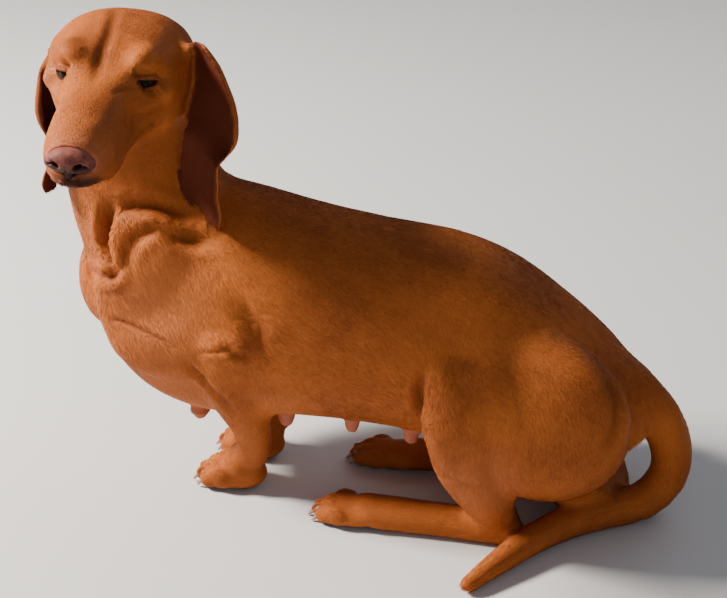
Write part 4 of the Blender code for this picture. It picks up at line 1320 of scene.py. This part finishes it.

# %% [markdown]
# ### Leather, eyes and claws
# The nose is pink-brown with a purple cast, with painted shade in its holes, its
# groove and on its underside, and its grain is a net of pebbles. The eye is nearly
# black brown and wet. The claws are pale horn, mottled a little darker.

# %% Finishes of the small parts
LEATHER = (0.130, 0.036, 0.028)
LEATHER_LIGHT = (0.270, 0.085, 0.060)
LEATHER_UNDERSIDE_SHADE = (0.022, 0.008, 0.007)
HOLE_SHADE = (0.018, 0.007, 0.006)
leather = Finish("nose_leather", Specular_IOR_Level=0.10)
pebbles = leather.cells(1150)
colour = leather.mix(leather.noise(130, detail=3.0).between(0.3, 0.7), LEATHER, LEATHER_LIGHT)
# Painted shade on the underside, in the nostrils and in the groove.
colour = leather.mix(leather.mark("underside_shade") * 0.94, colour, LEATHER_UNDERSIDE_SHADE)
colour = leather.mix(leather.mark("hole").between(0.12, 0.75), colour, HOLE_SHADE)
colour = leather.mix(leather.mark("groove") * 0.6, colour, HOLE_SHADE)
leather.wear(nose, Base_Color=colour, Roughness=0.42 + 0.25 * pebbles,
             Normal=leather.bump(1 - pebbles ** 2, 0.00016, 0.8))

IRIS_BROWN = (0.060, 0.020, 0.006)
IRIS_RIM = (0.010, 0.004, 0.002)
PUPIL = (0.001, 0.001, 0.001)
EYE_WHITE = (0.07, 0.035, 0.025)
for number, eye in enumerate(eyes):
    wet = Finish("wet_eye_" + str(number + 1), Specular_IOR_Level=0.05, Coat_Weight=0.08,
                 Coat_Roughness=0.02, Roughness=0.25)
    angle = wet.mark("off_axis")
    colour = wet.mix(wet.noise(900, detail=3.0), IRIS_BROWN, IRIS_RIM)
    colour = wet.mix(angle.between(14, 17), PUPIL, colour)
    colour = wet.mix(angle.between(34, 39), colour, IRIS_RIM)
    colour = wet.mix(angle.between(46, 54), colour, EYE_WHITE)
    wet.wear(eye, Base_Color=colour)

HORN = (0.40, 0.23, 0.17)
HORN_ROOT = (0.30, 0.15, 0.11)
horn = Finish("claw_horn", Roughness=0.34, Specular_IOR_Level=0.5)
horn.wear(claws_piece, Base_Color=horn.mix(horn.noise(260, detail=2.0), HORN, HORN_ROOT),
          Normal=horn.bump(horn.noise(1400, detail=2.0), 0.00006, 0.5))
print("finishes:", len(bpy.data.materials))

# %% [markdown]
# ## What stands for what
# Every piece rides on the one body, and the solids that it replaces are hidden.

# %% Hand the pieces over
FEET = list(PAWS)
for piece in [skin, nose, claws_piece, *eyes, *coat]:
    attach(piece, "root")
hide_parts(*FLESH, *FEET)
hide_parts("nose")
for side, eye in zip(("left", "right"), eyes):
    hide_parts("eye_" + side)
print("pieces:", 2 + len(eyes) + len(coat) + 1)

# %% [markdown]
# ## Floor and light
# The dog sits on a plain pale floor. In the photograph the sun comes from high
# on the dog's right front, so the large soft key light stands there, with a weak
# fill on the camera's side.

# %% Floor and lights
FLOOR_PALE = (0.62, 0.60, 0.57)
bpy.ops.object.select_all(action="DESELECT")
bpy.ops.mesh.primitive_plane_add(size=120, location=(0, 0, -0.0003))
floor = bpy.context.active_object
floor.name = "floor"
stone = Finish("pale_floor", Roughness=0.85)
stone.wear(floor, Base_Color=stone.mix(stone.noise(3.0), FLOOR_PALE, (0.66, 0.64, 0.61)))


def soft_light(name, at, aim, energy, size, colour=(1, 1, 1)):
    """A square area light that looks at a point."""
    bpy.ops.object.light_add(type="AREA", location=at)
    made = bpy.context.active_object
    made.name = name
    made.data.energy = energy
    made.data.size = size
    made.data.color = colour
    made.rotation_euler = (Vector(aim) - Vector(at)).to_track_quat("-Z", "Y").to_euler()
    return made


AIM = (-0.05, 0.0, 0.18)
soft_light("key", (-1.62, -0.30, 1.36), AIM, 142, 0.40, (1.0, 0.955, 0.89))
soft_light("fill", (1.2, -1.9, 0.9), AIM, 9, 2.4, (0.95, 0.97, 1.0))
soft_light("back", (0.7, 1.3, 1.3), AIM, 5, 1.2)
world = bpy.data.worlds.new("studio")
bpy.context.scene.world = world
world.use_nodes = True
world.node_tree.nodes["Background"].inputs["Color"].default_value = (0.74, 0.82, 1.0, 1)
world.node_tree.nodes["Background"].inputs["Strength"].default_value = 0.24
print("lights:", 3)
